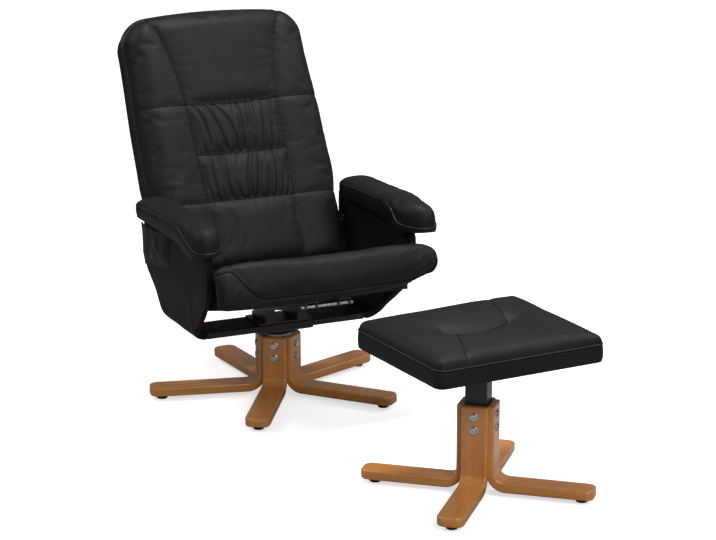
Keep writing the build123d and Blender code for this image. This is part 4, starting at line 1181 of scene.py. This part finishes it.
class ARMCHAIR_OT_arms(bpy.types.Operator):
    """Arm pads: crowned tops over a boxed band, with a welt round each top"""
    bl_idname = "armchair.arms"
    bl_label = "Arm pads"

    def execute(self, context):
        for name, side in (("right", -1), ("left", 1)):
            self.arm(name, side)
        return {"FINISHED"}

    def arm(self, name, side):
        def place(points):
            """Puts the pad beside the seat; the inner side of its nose curves back."""
            a, b, z = np.asarray(points).T
            inwards = (arm_half - side * a) / (2 * arm_half)
            return np.column_stack([side * arm_middle + a,
                                    b + 0.045 * inwards ** 3 * smooth_step((-0.17 - b) / 0.11), z])

        def plan(u, v):
            return round_corner(u * arm_half, v, arm_half, arm_front, arm_rear, arm_corner, arm_rear_corner)

        def upper(u, v, a, b):
            inside = inside_of(a, b, arm_half, arm_front, arm_rear + 0.2, arm_corner, arm_rear_corner)
            round_over = 1 - roll_off(inside, arm_half, 2.7)
            tail = 1 - 0.5 * roll_off(arm_rear - b, 0.014)
            return arm_edge(b) + (arm_ridge(b) - arm_edge(b)) * round_over * tail

        nose = -eased(-(arm_front + 0.055), -arm_front, 14)[::-1]
        rows = np.concatenate([nose[:-1], spaced(nose[-1], arm_rear, 0.0068)])
        side_columns = eased(0, 1, 11, 1.4)
        columns = np.concatenate([-side_columns[:0:-1], side_columns])
        pad, skin = pillow("arm_padding_" + name, finish("leather"), columns, rows, plan, upper,
                           lambda u, v, a, b: arm_under(b),
                           [(0.12, 0.0012), (0.35, 0.0026), (0.65, 0.0018), (0.9, -0.0012)], place)
        inflate(pad, skin > 0, 2.5, 0.003, 0.008)
        subdivide(pad)
        points = points_of(pad)
        y, z = points[:, 1], points[:, 2]
        x = side * (points[:, 0] - side * arm_middle)
        top = smooth_step((z - arm_edge(y)) / 0.006)
        shift = -0.0012 * hump((y + 0.172 + 0.15 * x) / 0.008) * top
        shift -= 0.0008 * hump((y + 0.150 - 0.22 * x) / 0.006) * top * smooth_step((x + 0.01) / 0.03)
        shift += ripples(y, z - arm_edge(y), 0.015, 0.008, 0.0004)
        band = (1 - top) * hump((z - (arm_edge(y) + arm_under(y)) / 2) / 0.012)
        shift -= 0.0012 * band * (hump((y + 0.183 + x * 0.2) / 0.007) + 0.7 * hump((y + 0.205) / 0.008))
        set_points(pad, points + shift[:, None] * normals_of(pad))
        soft(pad, "chair", "arm_pad_" + name, "arm_board_" + name, fill=0.8)
        tree = tree_of(pad)
        front = edge_of(plan, columns[1:-1], arm_front)
        rim = np.concatenate([edge_of(plan, -1, rows)[::-1], front, edge_of(plan, 1, rows)])
        rim = place(np.column_stack([rim, arm_edge(rim[:, 1])]))
        trim(tube("arm_welt_" + name, finish("welt"), laid(tree, rim, welt_lift), 0.0018), "chair")
        # A near-black cord of painted shade just under the welt
        under = laid(tree, rim - [0, 0, 0.0026], shade_cord_lift)
        trim(shade_cord("arm_crease_" + name, under, 0.0008), "chair")
        row = laid(tree, rim - [0, 0, 0.0060], thread_lift)
        trim(stitches("arm_stitching_" + name, row), "chair")


# Side panels

panel_outer = 0.310
# Middle of a panel's thickness, from its top to its lower end: out from the chair's middle, and up
panel_path = [(0.298, 0.510), (0.298, 0.400), (0.2975, 0.365), (0.2945, 0.335), (0.2820, 0.272),
              (0.2755, 0.2420), (0.2690, 0.2270), (0.2580, 0.2165), (0.2430, 0.2127), (0.2355, 0.2123)]
# A panel's front and rear edges from its lower end to its top
panel_front = table([(0.195, -0.072), (0.2123, -0.074), (0.235, -0.096), (0.2500, -0.112), (0.281, -0.152),
                     (0.330, -0.209), (0.352, -0.233), (0.376, -0.2465), (0.400, -0.250), (0.510, -0.250)])
panel_rear = table([(0.195, 0.158), (0.2123, 0.159), (0.240, 0.163), (0.267, 0.168), (0.300, 0.177),
                    (0.330, 0.197), (0.352, 0.213), (0.372, 0.2195), (0.395, 0.221), (0.510, 0.221)])
# Soft creases of a panel: place along the chair, height, lean, width and depth
panel_creases = ((-0.06, 0.30, 0.5, 0.012, 0.0011), (0.04, 0.345, 0.25, 0.016, 0.0009),
                 (-0.14, 0.42, -0.2, 0.014, 0.0010), (0.12, 0.33, -0.4, 0.012, 0.0008))
# The pocket's corners as along and up, from its upper rear corner round by its upper front one
pocket_corners = np.array([(0.2185, 0.476), (0.012, 0.489), (0.014, 0.392), (0.210, 0.356)])


def panel_place(side):
    """Bends a flat panel along its path: places along the chair, down the path, and out of it."""
    path = bend_line(panel_path)
    run = np.concatenate([[0], np.cumsum(np.linalg.norm(np.diff(path, axis=0), axis=1))])
    ahead = np.gradient(path, run, axis=0)
    ahead /= np.linalg.norm(ahead, axis=1, keepdims=True)

    def place(points):
        y, distance, out = np.asarray(points).T
        x = np.interp(distance, run, path[:, 0])
        z = np.interp(distance, run, path[:, 1])
        way_x = -np.interp(distance, run, ahead[:, 1])
        way_z = np.interp(distance, run, ahead[:, 0])
        return np.column_stack([side * (x + way_x * out), y, z + way_z * out])
    return place, run, path


class ARMCHAIR_OT_panels(bpy.types.Operator):
    """Upholstered side panels and the pocket on the sitter's right"""
    bl_idname = "armchair.panels"
    bl_label = "Side panels"

    def execute(self, context):
        for name, side in (("right", -1), ("left", 1)):
            self.panel(name, side)
        self.pocket()
        return {"FINISHED"}

    def panel(self, name, side):
        place, run, path = panel_place(side)

        def plan(u, v):
            z = np.interp(v, run, path[:, 1])
            first, last = panel_front(z) + 0.0035, panel_rear(z) - 0.0035
            y = first + (last - first) * (u + 1) / 2
            droop = np.interp(y, (-0.250, -0.197, -0.160, -0.150), (0.0245, 0.0205, 0.004, 0.0012))
            share = np.clip(1 - v / 0.10, 0, 1)
            return y, v + (droop + 0.0022) * share

        def face(way):
            def skin(u, v, a, b):
                edge = np.clip(np.abs(u) ** 26 + np.abs(v / run[-1] * 2 - 1) ** 30, 0, 1)
                return way * (0.0098 + 0.0020 * (1 - edge))
            return skin

        rows = spaced(0.001, run[-1] - 0.0005, 0.0075)
        columns = spaced(-1, 1, 0.034)
        band = [(0.12, 0.0018), (0.3, 0.0030), (0.5, 0.0033), (0.7, 0.0030), (0.88, 0.0018)]
        panel, skin = pillow("panel_upholstery_" + name, finish("panel"), columns, rows, plan, face(1),
                             face(-1), band, place)
        turned_out(panel)
        inflate(panel, skin == 1, 1.2, 0.0012, 0.006)
        subdivide(panel)
        points = points_of(panel)
        y, z = points[:, 1], points[:, 2]
        flat = smooth_step((y - panel_front(z) - 0.012) / 0.02)
        flat *= smooth_step((panel_rear(z) - 0.012 - y) / 0.02)
        shift = np.zeros(len(points))
        for start, height, lean, width, deep in panel_creases:
            shift -= deep * hump((z - height - lean * (y - start)) / width) * hump((y - start) / 0.07)
        shift += 0.0005 * np.sin(y * 37 + z * 19) * np.sin(z * 45 + 1)
        set_points(panel, points + (shift * flat)[:, None] * normals_of(panel))
        soft(panel, "chair", "side_panel_" + name, fill=0.2)
        tree = tree_of(panel)
        v = np.arange(0.012, run[-1] - line_step, line_step)
        rows_of_thread = []
        welts = []
        for end in (-1, 1):
            edge = edge_of(plan, end, v)
            on_rim = laid(tree, place(raised(edge, 0.0102)), welt_lift)
            welts.append(tube("welt", finish("welt"), on_rim, 0.0014))
            beside = laid(tree, place(raised(edge - [end * 0.008, 0], 0.012)), thread_lift)
            rows_of_thread.append(stitches("seam", beside))
        trim(join(welts, "panel_welt_" + name), "chair")
        trim(join(rows_of_thread, "panel_stitching_" + name), "chair")

    def pocket(self):
        """The pocket's sheet: sewn down at its front, lower and rear edges, slack at its hem."""
        rear_top, front_top, front_low, rear_low = pocket_corners

        def plan(u, v):
            p = (u + 1) / 2
            low = front_low + (rear_low - front_low) * p[..., None]
            high = front_top + (rear_top - front_top) * p[..., None]
            at = low + (high - low) * v[..., None]
            sag = 0.004 * np.sin(p * pi) * v
            return at[..., 0], at[..., 1] - sag

        def skin(extra):
            def height(u, v, a, b):
                belly = (1 - np.where(u > 0, 0.45, 1) * np.abs(u) ** 4) * smooth_step(v / 0.35) * 1.5
                fold = 0.0010 * np.sin((u + v * 0.4) * 9) + 0.0014 * hump((u + 0.5 - v * 0.5) / 0.12)
                full = extra + (0.0062 + fold) * belly + 0.0012 * smooth_step((v - 0.86) / 0.05)
                sewn = smooth_step((u - 0.93) / 0.05) * (extra < 0.001)
                return full + (0.0004 - full) * sewn
            return height

        def place(points):
            return np.column_stack([-(panel_outer + points[:, 2]), points[:, 0], points[:, 1]])

        pocket, _ = pillow("pocket_sheet", finish("leather"), spaced(-1, 1, 0.045), spaced(0, 1, 0.055), plan,
                           skin(0.0020), skin(0.0004), [(0.5, 0.0006)], place)
        subdivide(pocket)
        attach(pocket, "chair")
        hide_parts("side_pocket")
        inset = [(0.2120, 0.471), (0.2040, 0.3620), (0.0205, 0.3955), (0.0185, 0.484)]
        tree = tree_of(pocket)
        sewn = np.concatenate([bend_line([(-0.314, *first), (-0.314, *last)])
                               for first, last in zip(inset, inset[1:])])
        hem = [(-0.318, y, 0.4830 - 0.063 * (y - 0.012)) for y in np.arange(0.020, 0.210, line_step)]
        seams = [stitches("seam", dropped(tree, line, (1, 0, 0), 0.0003, 0.03)) for line in (sewn, hem)]
        trim(join(seams, "pocket_stitching"), "chair")


# Stool

STOOL_ORIGIN = np.array([0.137, -0.949, 0.365])
STOOL_ACROSS = np.array([cos(stool_turn), sin(stool_turn), 0])
STOOL_ALONG = np.array([-sin(stool_turn), cos(stool_turn), 0])
stool_place = axes(STOOL_ORIGIN, STOOL_ACROSS, STOOL_ALONG)
stool_local = inverse(STOOL_ORIGIN, STOOL_ACROSS, STOOL_ALONG)
stool_half = (0.2375, 0.2045)
stool_corner = 0.025
stool_rim = 0.0405
# The stool's tuft, its two seams and a soft crease, as across and along
tuft_end = (0.096, 0.020)
tuft_line = [(-0.090, 0.016), (-0.076, 0.003), (-0.052, -0.008), (-0.022, -0.013), (0.016, -0.012),
             (0.056, 0.000), tuft_end]
stool_seam = [tuft_end, (0.101, 0.048), (0.112, 0.100), (0.128, 0.155), (0.142, 0.199)]
stool_seam_low = [(-0.080, 0.007), (-0.090, -0.030), (-0.106, -0.076), (-0.128, -0.130), (-0.147, -0.172),
                  (-0.156, -0.197)]
stool_crease = [tuft_end, (0.126, -0.004), (0.145, -0.050), (0.146, -0.125), (0.140, -0.195)]


def far_from(line, x, y):
    """Distance of places from a line, both in a plane."""
    line = bend_line(line, 0.008)
    best = np.full(len(x), 1.0)
    for first, last in zip(line, line[1:]):
        run = last - first
        share = np.clip(((x - first[0]) * run[0] + (y - first[1]) * run[1]) / (run @ run), 0, 1)
        best = np.minimum(best, np.hypot(x - first[0] - share * run[0], y - first[1] - share * run[1]))
    return best


class ARMCHAIR_OT_stool(bpy.types.Operator):
    """Stool pad: sewn panels drawn down in a long tuft, a welt and a boxed band"""
    bl_idname = "armchair.stool"
    bl_label = "Stool pad"

    def execute(self, context):
        wide, long = stool_half

        def plan(u, v):
            a, b = u * wide, v * long
            return round_corner(a, b, wide, -long, long, stool_corner, stool_corner)

        def upper(u, v, a, b):
            inside = inside_of(a, b, wide, -long, long, stool_corner, stool_corner)
            puff = 0.0255 * (1 - roll_off(inside, 0.038, 2.3))
            far_corner = smooth_step((u + 0.4) / 0.9) * smooth_step((v - 0.1) / 0.6)
            puff += 0.0055 * far_corner * np.clip(inside / 0.03, 0, 1)
            dome = (0.0105 * (1 - u ** 2) + 0.004 * hump((np.abs(u) - 0.62) / 0.3)) * (1 - v ** 2)
            slot = b - np.interp(a, *np.array(tuft_line).T)
            away = np.hypot(np.clip(np.abs(a) - tuft_end[0], 0, 1), slot * np.where(slot > 0, 1.35, 1.0))
            return stool_rim + puff + dome - 0.0175 * np.exp(-(away / 0.050) ** 1.7)

        def lower(u, v, a, b):
            inside = inside_of(a, b, wide, -long, long, stool_corner, stool_corner)
            return 0.0005 - 0.0060 * roll_off(inside, 0.030, 2.0)

        rim_columns, rim_rows = eased(0, 1, 31, 1.25), eased(0, 1, 27, 1.25)
        columns = np.concatenate([-rim_columns[:0:-1], rim_columns])
        rows = np.concatenate([-rim_rows[:0:-1], rim_rows])
        band = [(0.08, 0.0010), (0.35, 0.0026), (0.65, 0.0026), (0.90, 0.0012), (0.97, 0.0004)]
        pad, skin = pillow("stool_padding", finish("leather"), columns, rows, plan, upper, lower, band,
                           stool_place)
        x, y, _ = stool_local(points_of(pad)).T
        held = (skin > 0) | (far_from(tuft_line, x, y) < 0.006)
        for line in (stool_seam, stool_seam_low):
            held |= far_from(line, x, y) < 0.004
        inflate(pad, held, 2.2, 0.004, 0.001)
        subdivide(pad)
        self.details(pad)
        soft(pad, "stool", "stool_cushion", "stool_board", fill=0.75)
        self.trims(tree_of(pad), plan, columns, rows)
        return {"FINISHED"}

    def trims(self, tree, plan, columns, rows):
        """Welt, cords of painted shade under the welt and in the seams, thread and the band's corner seams.
        """
        round_rim = np.concatenate([edge_of(plan, columns[:-1], -1), edge_of(plan, 1, rows[:-1]),
                                    edge_of(plan, columns[:0:-1], 1), edge_of(plan, -1, rows[:0:-1])])

        def round_band(drop, lift):
            """A line round the pad at a drop below its rim, laid on its band."""
            return laid(tree, stool_place(raised(round_rim, stool_rim - drop)), lift)

        def on_top(line, lift):
            """A line of the pad's plan, dropped on to its top."""
            return dropped(tree, stool_place(raised(line, 0.07)), (0, 0, -1), lift)

        trim(tube("stool_welt", finish("welt"), round_band(0, welt_lift), 0.0019, closed=True), "stool")
        # A near-black cord of painted shade just under the welt
        trim(shade_cord("stool_rim_seam_shade", round_band(0.0027, shade_cord_lift), 0.0008, closed=True), "stool")
        lower = round_band(0.0065, thread_lift)
        rows_of_thread = [stitches("seam", np.append(lower, lower[:1], 0))]
        creases = []
        # Near-black cords of painted shade in the seams and the tuft's slot
        for seam in (stool_seam, stool_seam_low):
            line = bend_line(seam)
            creases.append(shade_cord("shade_cord", on_top(line, shade_cord_lift), 0.0009))
            for gap in (-0.0045, 0.0045):
                rows_of_thread.append(stitches("seam", on_top(line[3:] + [gap, 0], thread_lift)))
        creases.append(shade_cord("shade_cord", on_top(bend_line(tuft_line), shade_cord_lift), 0.0011))
        trim(join(creases, "stool_seam_shade"), "stool")
        trim(join(rows_of_thread, "stool_stitching"), "stool")
        corner_inset = stool_corner * (1 - cos(pi / 4))
        wide, long = stool_half[0] - corner_inset, stool_half[1] - corner_inset
        corners = ((-wide, -long), (-wide, long), (wide, -long), (wide, long))
        for number, corner in enumerate(corners, 1):
            upright = bend_line(stool_place([(*corner, z) for z in (0.003, 0.020, 0.036)]))
            seam = tube("stool_corner_seam_%d" % number, finish("welt"), laid(tree, upright, 0.0), 0.0009)
            trim(seam, "stool")

    def details(self, pad):
        """The tuft's slot, the valleys of the seams and the puckers beside them."""
        points = points_of(pad)
        x, y, h = stool_local(points).T
        top = smooth_step((h - stool_rim - 0.001) / 0.006)
        slot = far_from(tuft_line, x, y)
        shift = -0.0050 * np.exp(-(slot / 0.0085) ** 1.3)
        for seam, turn in ((stool_seam, 1), (stool_seam_low, -1)):
            shift -= 0.0022 * valley(far_from(seam, x, y), share=0.7)
            fold = far_from(np.array(stool_crease) * turn, x, y)
            shift -= 0.0030 * hump(fold / 0.013) * np.exp(-slot / 0.11)
        shift += ripples(x * 1.3 + y, slot, 0.021, 0.018, 0.0008)
        rim = np.minimum(stool_half[0] - np.abs(x), stool_half[1] - np.abs(y))
        shift += ripples(x + y, rim, 0.016, 0.010, 0.0005)
        set_points(pad, points + (shift * top)[:, None] * normals_of(pad))


# Wooden legs, steel and fasteners

# A bent leg: half its width, its thickness, the radius of its bend's upper side, the height of its
# foot's underside, the round of its tip, the round of its edges, and how much thicker its foot is
leg_half = 0.034
leg_thick = 0.020
leg_bend = 0.031
leg_foot = 0.013
leg_tip = 0.023
leg_ease = 0.0045
leg_foot_extra = 0.0045
# How far the two screws of each leg lie below its top
screw_drops = (0.026, 0.061)
# The two stars of legs: how many, their middle, the first leg's turn in degrees, and how far
# out the stems' outer faces lie, how high their tops are and how far out the tips lie
leg_stars = (("base", 5, (0, 0), -122.3, 0.058, 0.174, 0.361),
             ("stool", 4, tuple(STOOL_ORIGIN[:2]), -131.0, 0.048, 0.236, 0.2995))


def bend_heart(face):
    """Centre of the bend between stem and foot: its distance from the star's middle, and its height."""
    return face + leg_bend, leg_foot + leg_thick + leg_bend


def leg_place(centre, turn, face, top, reach):
    """Bends a flat leg round its foot: places across it, along it from its top, and out of it."""
    radius = leg_bend + leg_thick / 2
    heart = bend_heart(face)
    stem, arc = top - heart[1], radius * pi / 2

    def place(points):
        across, along, out = np.asarray(points).T
        angle = np.clip((along - stem) / radius, 0, pi / 2)
        foot = np.clip(along - stem - arc, 0, None)
        lift = np.clip(stem - along, 0, None)
        run = heart[0] - (radius - out) * np.cos(angle) + foot
        z = heart[1] - (radius - out) * np.sin(angle) + lift
        return np.column_stack([centre[0] + run * cos(turn) - across * sin(turn),
                                centre[1] + run * sin(turn) + across * cos(turn), z])
    return place, stem + arc + reach - heart[0], stem, arc


class ARMCHAIR_OT_legs(bpy.types.Operator):
    """The nine bentwood legs: eased edges, rounded tips and veneer that follows their bend"""
    bl_idname = "armchair.legs"
    bl_label = "Bentwood legs"

    def execute(self, context):
        for group, count, centre, first, face, top, reach in leg_stars:
            washers = []
            for number in range(count):
                turn = radians(first + 360 / count * number)
                name = "%s_leg_%d" % (group, number + 1)
                bent = leg_place(centre, turn, face, top, reach)
                self.leg(name, group, bent, bentwood_finish(name + "_wood", centre, turn, face))
                washers += [self.washer(bent[0], drop) for drop in screw_drops]
            trim(join(washers, group + "_screw_washers"), group)
        return {"FINISHED"}

    def washer(self, place, drop):
        """A domed washer round a screw's head, lying on the leg's outer face."""
        section = [(0.0077, 0.0002), (0.0112, 0.0002), (0.0118, 0.0006), (0.0113, 0.0012), (0.0095, 0.0017),
                   (0.0077, 0.0018)]
        turn = np.linspace(0, 2 * pi, 36, endpoint=False)
        points = [(radius * cos(angle), drop + radius * sin(angle), leg_thick / 2 + out)
                  for radius, out in section for angle in turn]
        index = np.arange(len(points)).reshape(len(section), -1)
        after = np.roll(index, -1, 0)
        faces = np.stack([index, np.roll(index, -1, 1), np.roll(after, -1, 1), after], -1).reshape(-1, 4)
        washer = add_mesh("washer", place(points), faces, finish("zinc"))
        turned_out(washer)
        return washer

    def leg(self, name, body, bent, material):
        place, long, stem, arc = bent

        def plan(u, v):
            return round_corner(u * leg_half, v, leg_half, 0, long, 0.003, leg_tip)

        def face_at(way):
            def level(u, v, a, b):
                inside = inside_of(a, b, leg_half, 0, long, 0.003, leg_tip)
                extra = leg_foot_extra * smooth_step((b - stem) / arc) if way > 0 else 0
                return way * (leg_thick / 2 + extra - leg_ease * roll_off(inside, leg_ease, 2.0))
            return level

        rim_columns = eased(0, 1, 12, 2.4)
        head, tail = 0.012, 0.030
        foot_rows = spaced(stem + arc, long - tail, 0.02)[1:-1]
        rows = np.concatenate([(head - eased(0, head, 5, 2.0))[::-1], spaced(head, stem, 0.02)[1:],
                               spaced(stem, stem + arc, 0.005)[1:], foot_rows,
                               long - tail + eased(0, tail, 8, 2.0)])
        columns = np.concatenate([-rim_columns[:0:-1], rim_columns])
        leg, _ = pillow(name + "_veneer", material, columns, rows, plan, face_at(1), face_at(-1),
                        [(0.33, 0.0), (0.67, 0.0)], place)
        turned_out(leg)
        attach(leg, body)
        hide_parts(name)


class ARMCHAIR_OT_hardware(bpy.types.Operator):
    """Steel, zinc and plastic of the base, the rails and the motors"""
    bl_idname = "armchair.hardware"
    bl_label = "Hardware"

    def execute(self, context):
        finishes = {
            "steel": ["base_column", "swivel_spindle", "hub_plate", "mechanism_plate", "seat_carrier_left",
                      "seat_carrier_right", "carrier_bracket_left", "carrier_bracket_right", "stool_post",
                      "stool_plate", "back_bracket_left", "back_bracket_right", "seat_slide_left",
                      "seat_slide_right", "back_pivot_left", "back_pivot_right"],
            "zinc": ["base_leg_screws", "stool_leg_screws", "stool_plate_screws", "frame_bolts",
                     "side_panel_bolts", "slide_cross_rod"],
            "turned": ["massage_weight_%d" % number for number in range(1, 5)],
            "housing": ["massage_motor_%d" % number for number in range(1, 5)],
            "glide": ["base_glides", "stool_glides"],
            "bush": ["swivel_bush"],
            "socket": ["power_socket"],
            "board": ["seat_crossbar"],
            "plywood": ["back_board", "stool_board", "arm_board_left", "arm_board_right"],
        }
        for name, group in finishes.items():
            for node in group:
                finish_node(node, finish(name))
        return {"FINISHED"}


# Stage

# The lamps: name, place, width and share of the light
lamps = (("left", (-2.2, 0.9, 2.9), 1.5, 0.28), ("right", (2.6, -0.4, 2.9), 1.5, 0.24),
         ("front", (0.3, -4.4, 3.0), 2.2, 0.72), ("top", (0.35, -0.15, 3.4), 0.7, 0.50))
lit_place = (0, -0.3, 0.4)
floor_half = 14.0
# The photograph's camera: its place, how far it looks down and round, and its focal length and
# picture width in pixels
camera_place = (-2.5967, -6.1034, 2.1816)
camera_down = radians(15.417)
camera_turn = radians(-25)
camera_focal_pixels = 2471.27
camera_width_pixels = 716
camera_sensor = 36


class ARMCHAIR_OT_stage(bpy.types.Operator):
    """Pale floor, soft lamps and the camera"""
    bl_idname = "armchair.stage"
    bl_label = "Stage"

    def brighten(self, sheet, stage):
        """Lifts the floor that the camera sees towards white, most far away; other rays see it darker."""
        tree = sheet.tree
        x, y, _ = sheet.split(sheet.place())
        away = (x * x + y * y).maths("SQRT") / 10.0
        sheet.set(Emission_Color=sheet.ramp(away, (0.14, stage.lift), (0.42, 1.0)), Emission_Strength=1.0)
        output = next(node for node in tree.nodes if node.type == "OUTPUT_MATERIAL")
        dim = tree.nodes.new("ShaderNodeBsdfDiffuse")
        dim.inputs[0].default_value = (stage.bounce, stage.bounce, stage.bounce, 1)
        pick = tree.nodes.new("ShaderNodeMixShader")
        rays = tree.nodes.new("ShaderNodeLightPath")
        tree.links.new(rays.outputs["Is Camera Ray"], pick.inputs[0])
        tree.links.new(dim.outputs[0], pick.inputs[1])
        tree.links.new(sheet.shader.outputs[0], pick.inputs[2])
        tree.links.new(pick.outputs[0], output.inputs[0])

    def execute(self, context):
        stage = settings("stage")
        sheet = Sheet("studio_floor", 0.7, Specular_IOR_Level=0.1)
        sheet.set(Base_Color=tuple(stage.floor))
        self.brighten(sheet, stage)
        corners = [(-floor_half, -floor_half, 0), (floor_half, -floor_half, 0), (floor_half, floor_half, 0),
                   (-floor_half, floor_half, 0)]
        floor = add_mesh("floor", corners, [(0, 1, 2, 3)], sheet.material)
        scene = context.scene
        world = bpy.data.worlds.new("studio")
        scene.world = world
        world.use_nodes = True
        tree = world.node_tree
        tree.nodes.clear()
        rays = tree.nodes.new("ShaderNodeLightPath")
        seen = tree.nodes.new("ShaderNodeBackground")
        light = tree.nodes.new("ShaderNodeBackground")
        seen.inputs[0].default_value = (1, 1, 1, 1)
        seen.inputs[1].default_value = 1.0
        light.inputs[0].default_value = (0.97, 0.98, 1, 1)
        light.inputs[1].default_value = stage.sky
        mix = tree.nodes.new("ShaderNodeMixShader")
        output = tree.nodes.new("ShaderNodeOutputWorld")
        tree.links.new(rays.outputs["Is Camera Ray"], mix.inputs[0])
        tree.links.new(light.outputs[0], mix.inputs[1])
        tree.links.new(seen.outputs[0], mix.inputs[2])
        tree.links.new(mix.outputs[0], output.inputs[0])
        for name, place, width, share in lamps:
            data = bpy.data.lights.new(name, "AREA")
            data.shape = "SQUARE"
            data.size = width
            data.energy = stage.lamp * share
            lamp = bpy.data.objects.new(name, data)
            lamp.location = place
            lamp.rotation_euler = (Vector(lit_place) - Vector(place)).to_track_quat("-Z", "Y").to_euler()
            scene.collection.objects.link(lamp)
        camera = bpy.data.objects.new("camera", bpy.data.cameras.new("camera"))
        camera.data.sensor_width = camera_sensor
        camera.data.lens = camera_focal_pixels / camera_width_pixels * camera_sensor
        camera.data.clip_end = 100
        camera.location = camera_place
        camera.rotation_euler = Euler((pi / 2 - camera_down, 0, camera_turn), "XYZ")
        scene.collection.objects.link(camera)
        scene.camera = camera
        scene.view_settings.view_transform = "Standard"
        return {"FINISHED"}


class ARMCHAIR_PT_panel(bpy.types.Panel):
    """Buttons and settings of the armchair"""
    bl_idname = "ARMCHAIR_PT_panel"
    bl_label = "Massage armchair"
    bl_space_type = "VIEW_3D"
    bl_region_type = "UI"
    bl_category = "Armchair"

    def draw(self, context):
        for name in setting_groups:
            group = settings(name)
            for field in group.__annotations__:
                self.layout.prop(group, field)
        for operator in operators:
            self.layout.operator(operator.bl_idname)


setting_groups = {"leather": LeatherSettings, "wood": WoodSettings, "steel": SteelSettings,
                  "back": BackSettings, "stage": StageSettings}
operators = (ARMCHAIR_OT_stage, ARMCHAIR_OT_back, ARMCHAIR_OT_seat, ARMCHAIR_OT_arms, ARMCHAIR_OT_panels,
             ARMCHAIR_OT_stool, ARMCHAIR_OT_legs, ARMCHAIR_OT_hardware)
classes = (*setting_groups.values(), *operators, ARMCHAIR_PT_panel)


def register():
    for item in classes:
        bpy.utils.register_class(item)
    for name, group in setting_groups.items():
        setattr(bpy.types.Scene, "armchair_" + name, bpy.props.PointerProperty(type=group))


def unregister():
    for name in setting_groups:
        delattr(bpy.types.Scene, "armchair_" + name)
    for item in reversed(classes):
        bpy.utils.unregister_class(item)


def main():
    register()
    for operator in operators:
        group, name = operator.bl_idname.split(".")
        getattr(getattr(bpy.ops, group), name)()


if __name__ == "__main__":
    main()
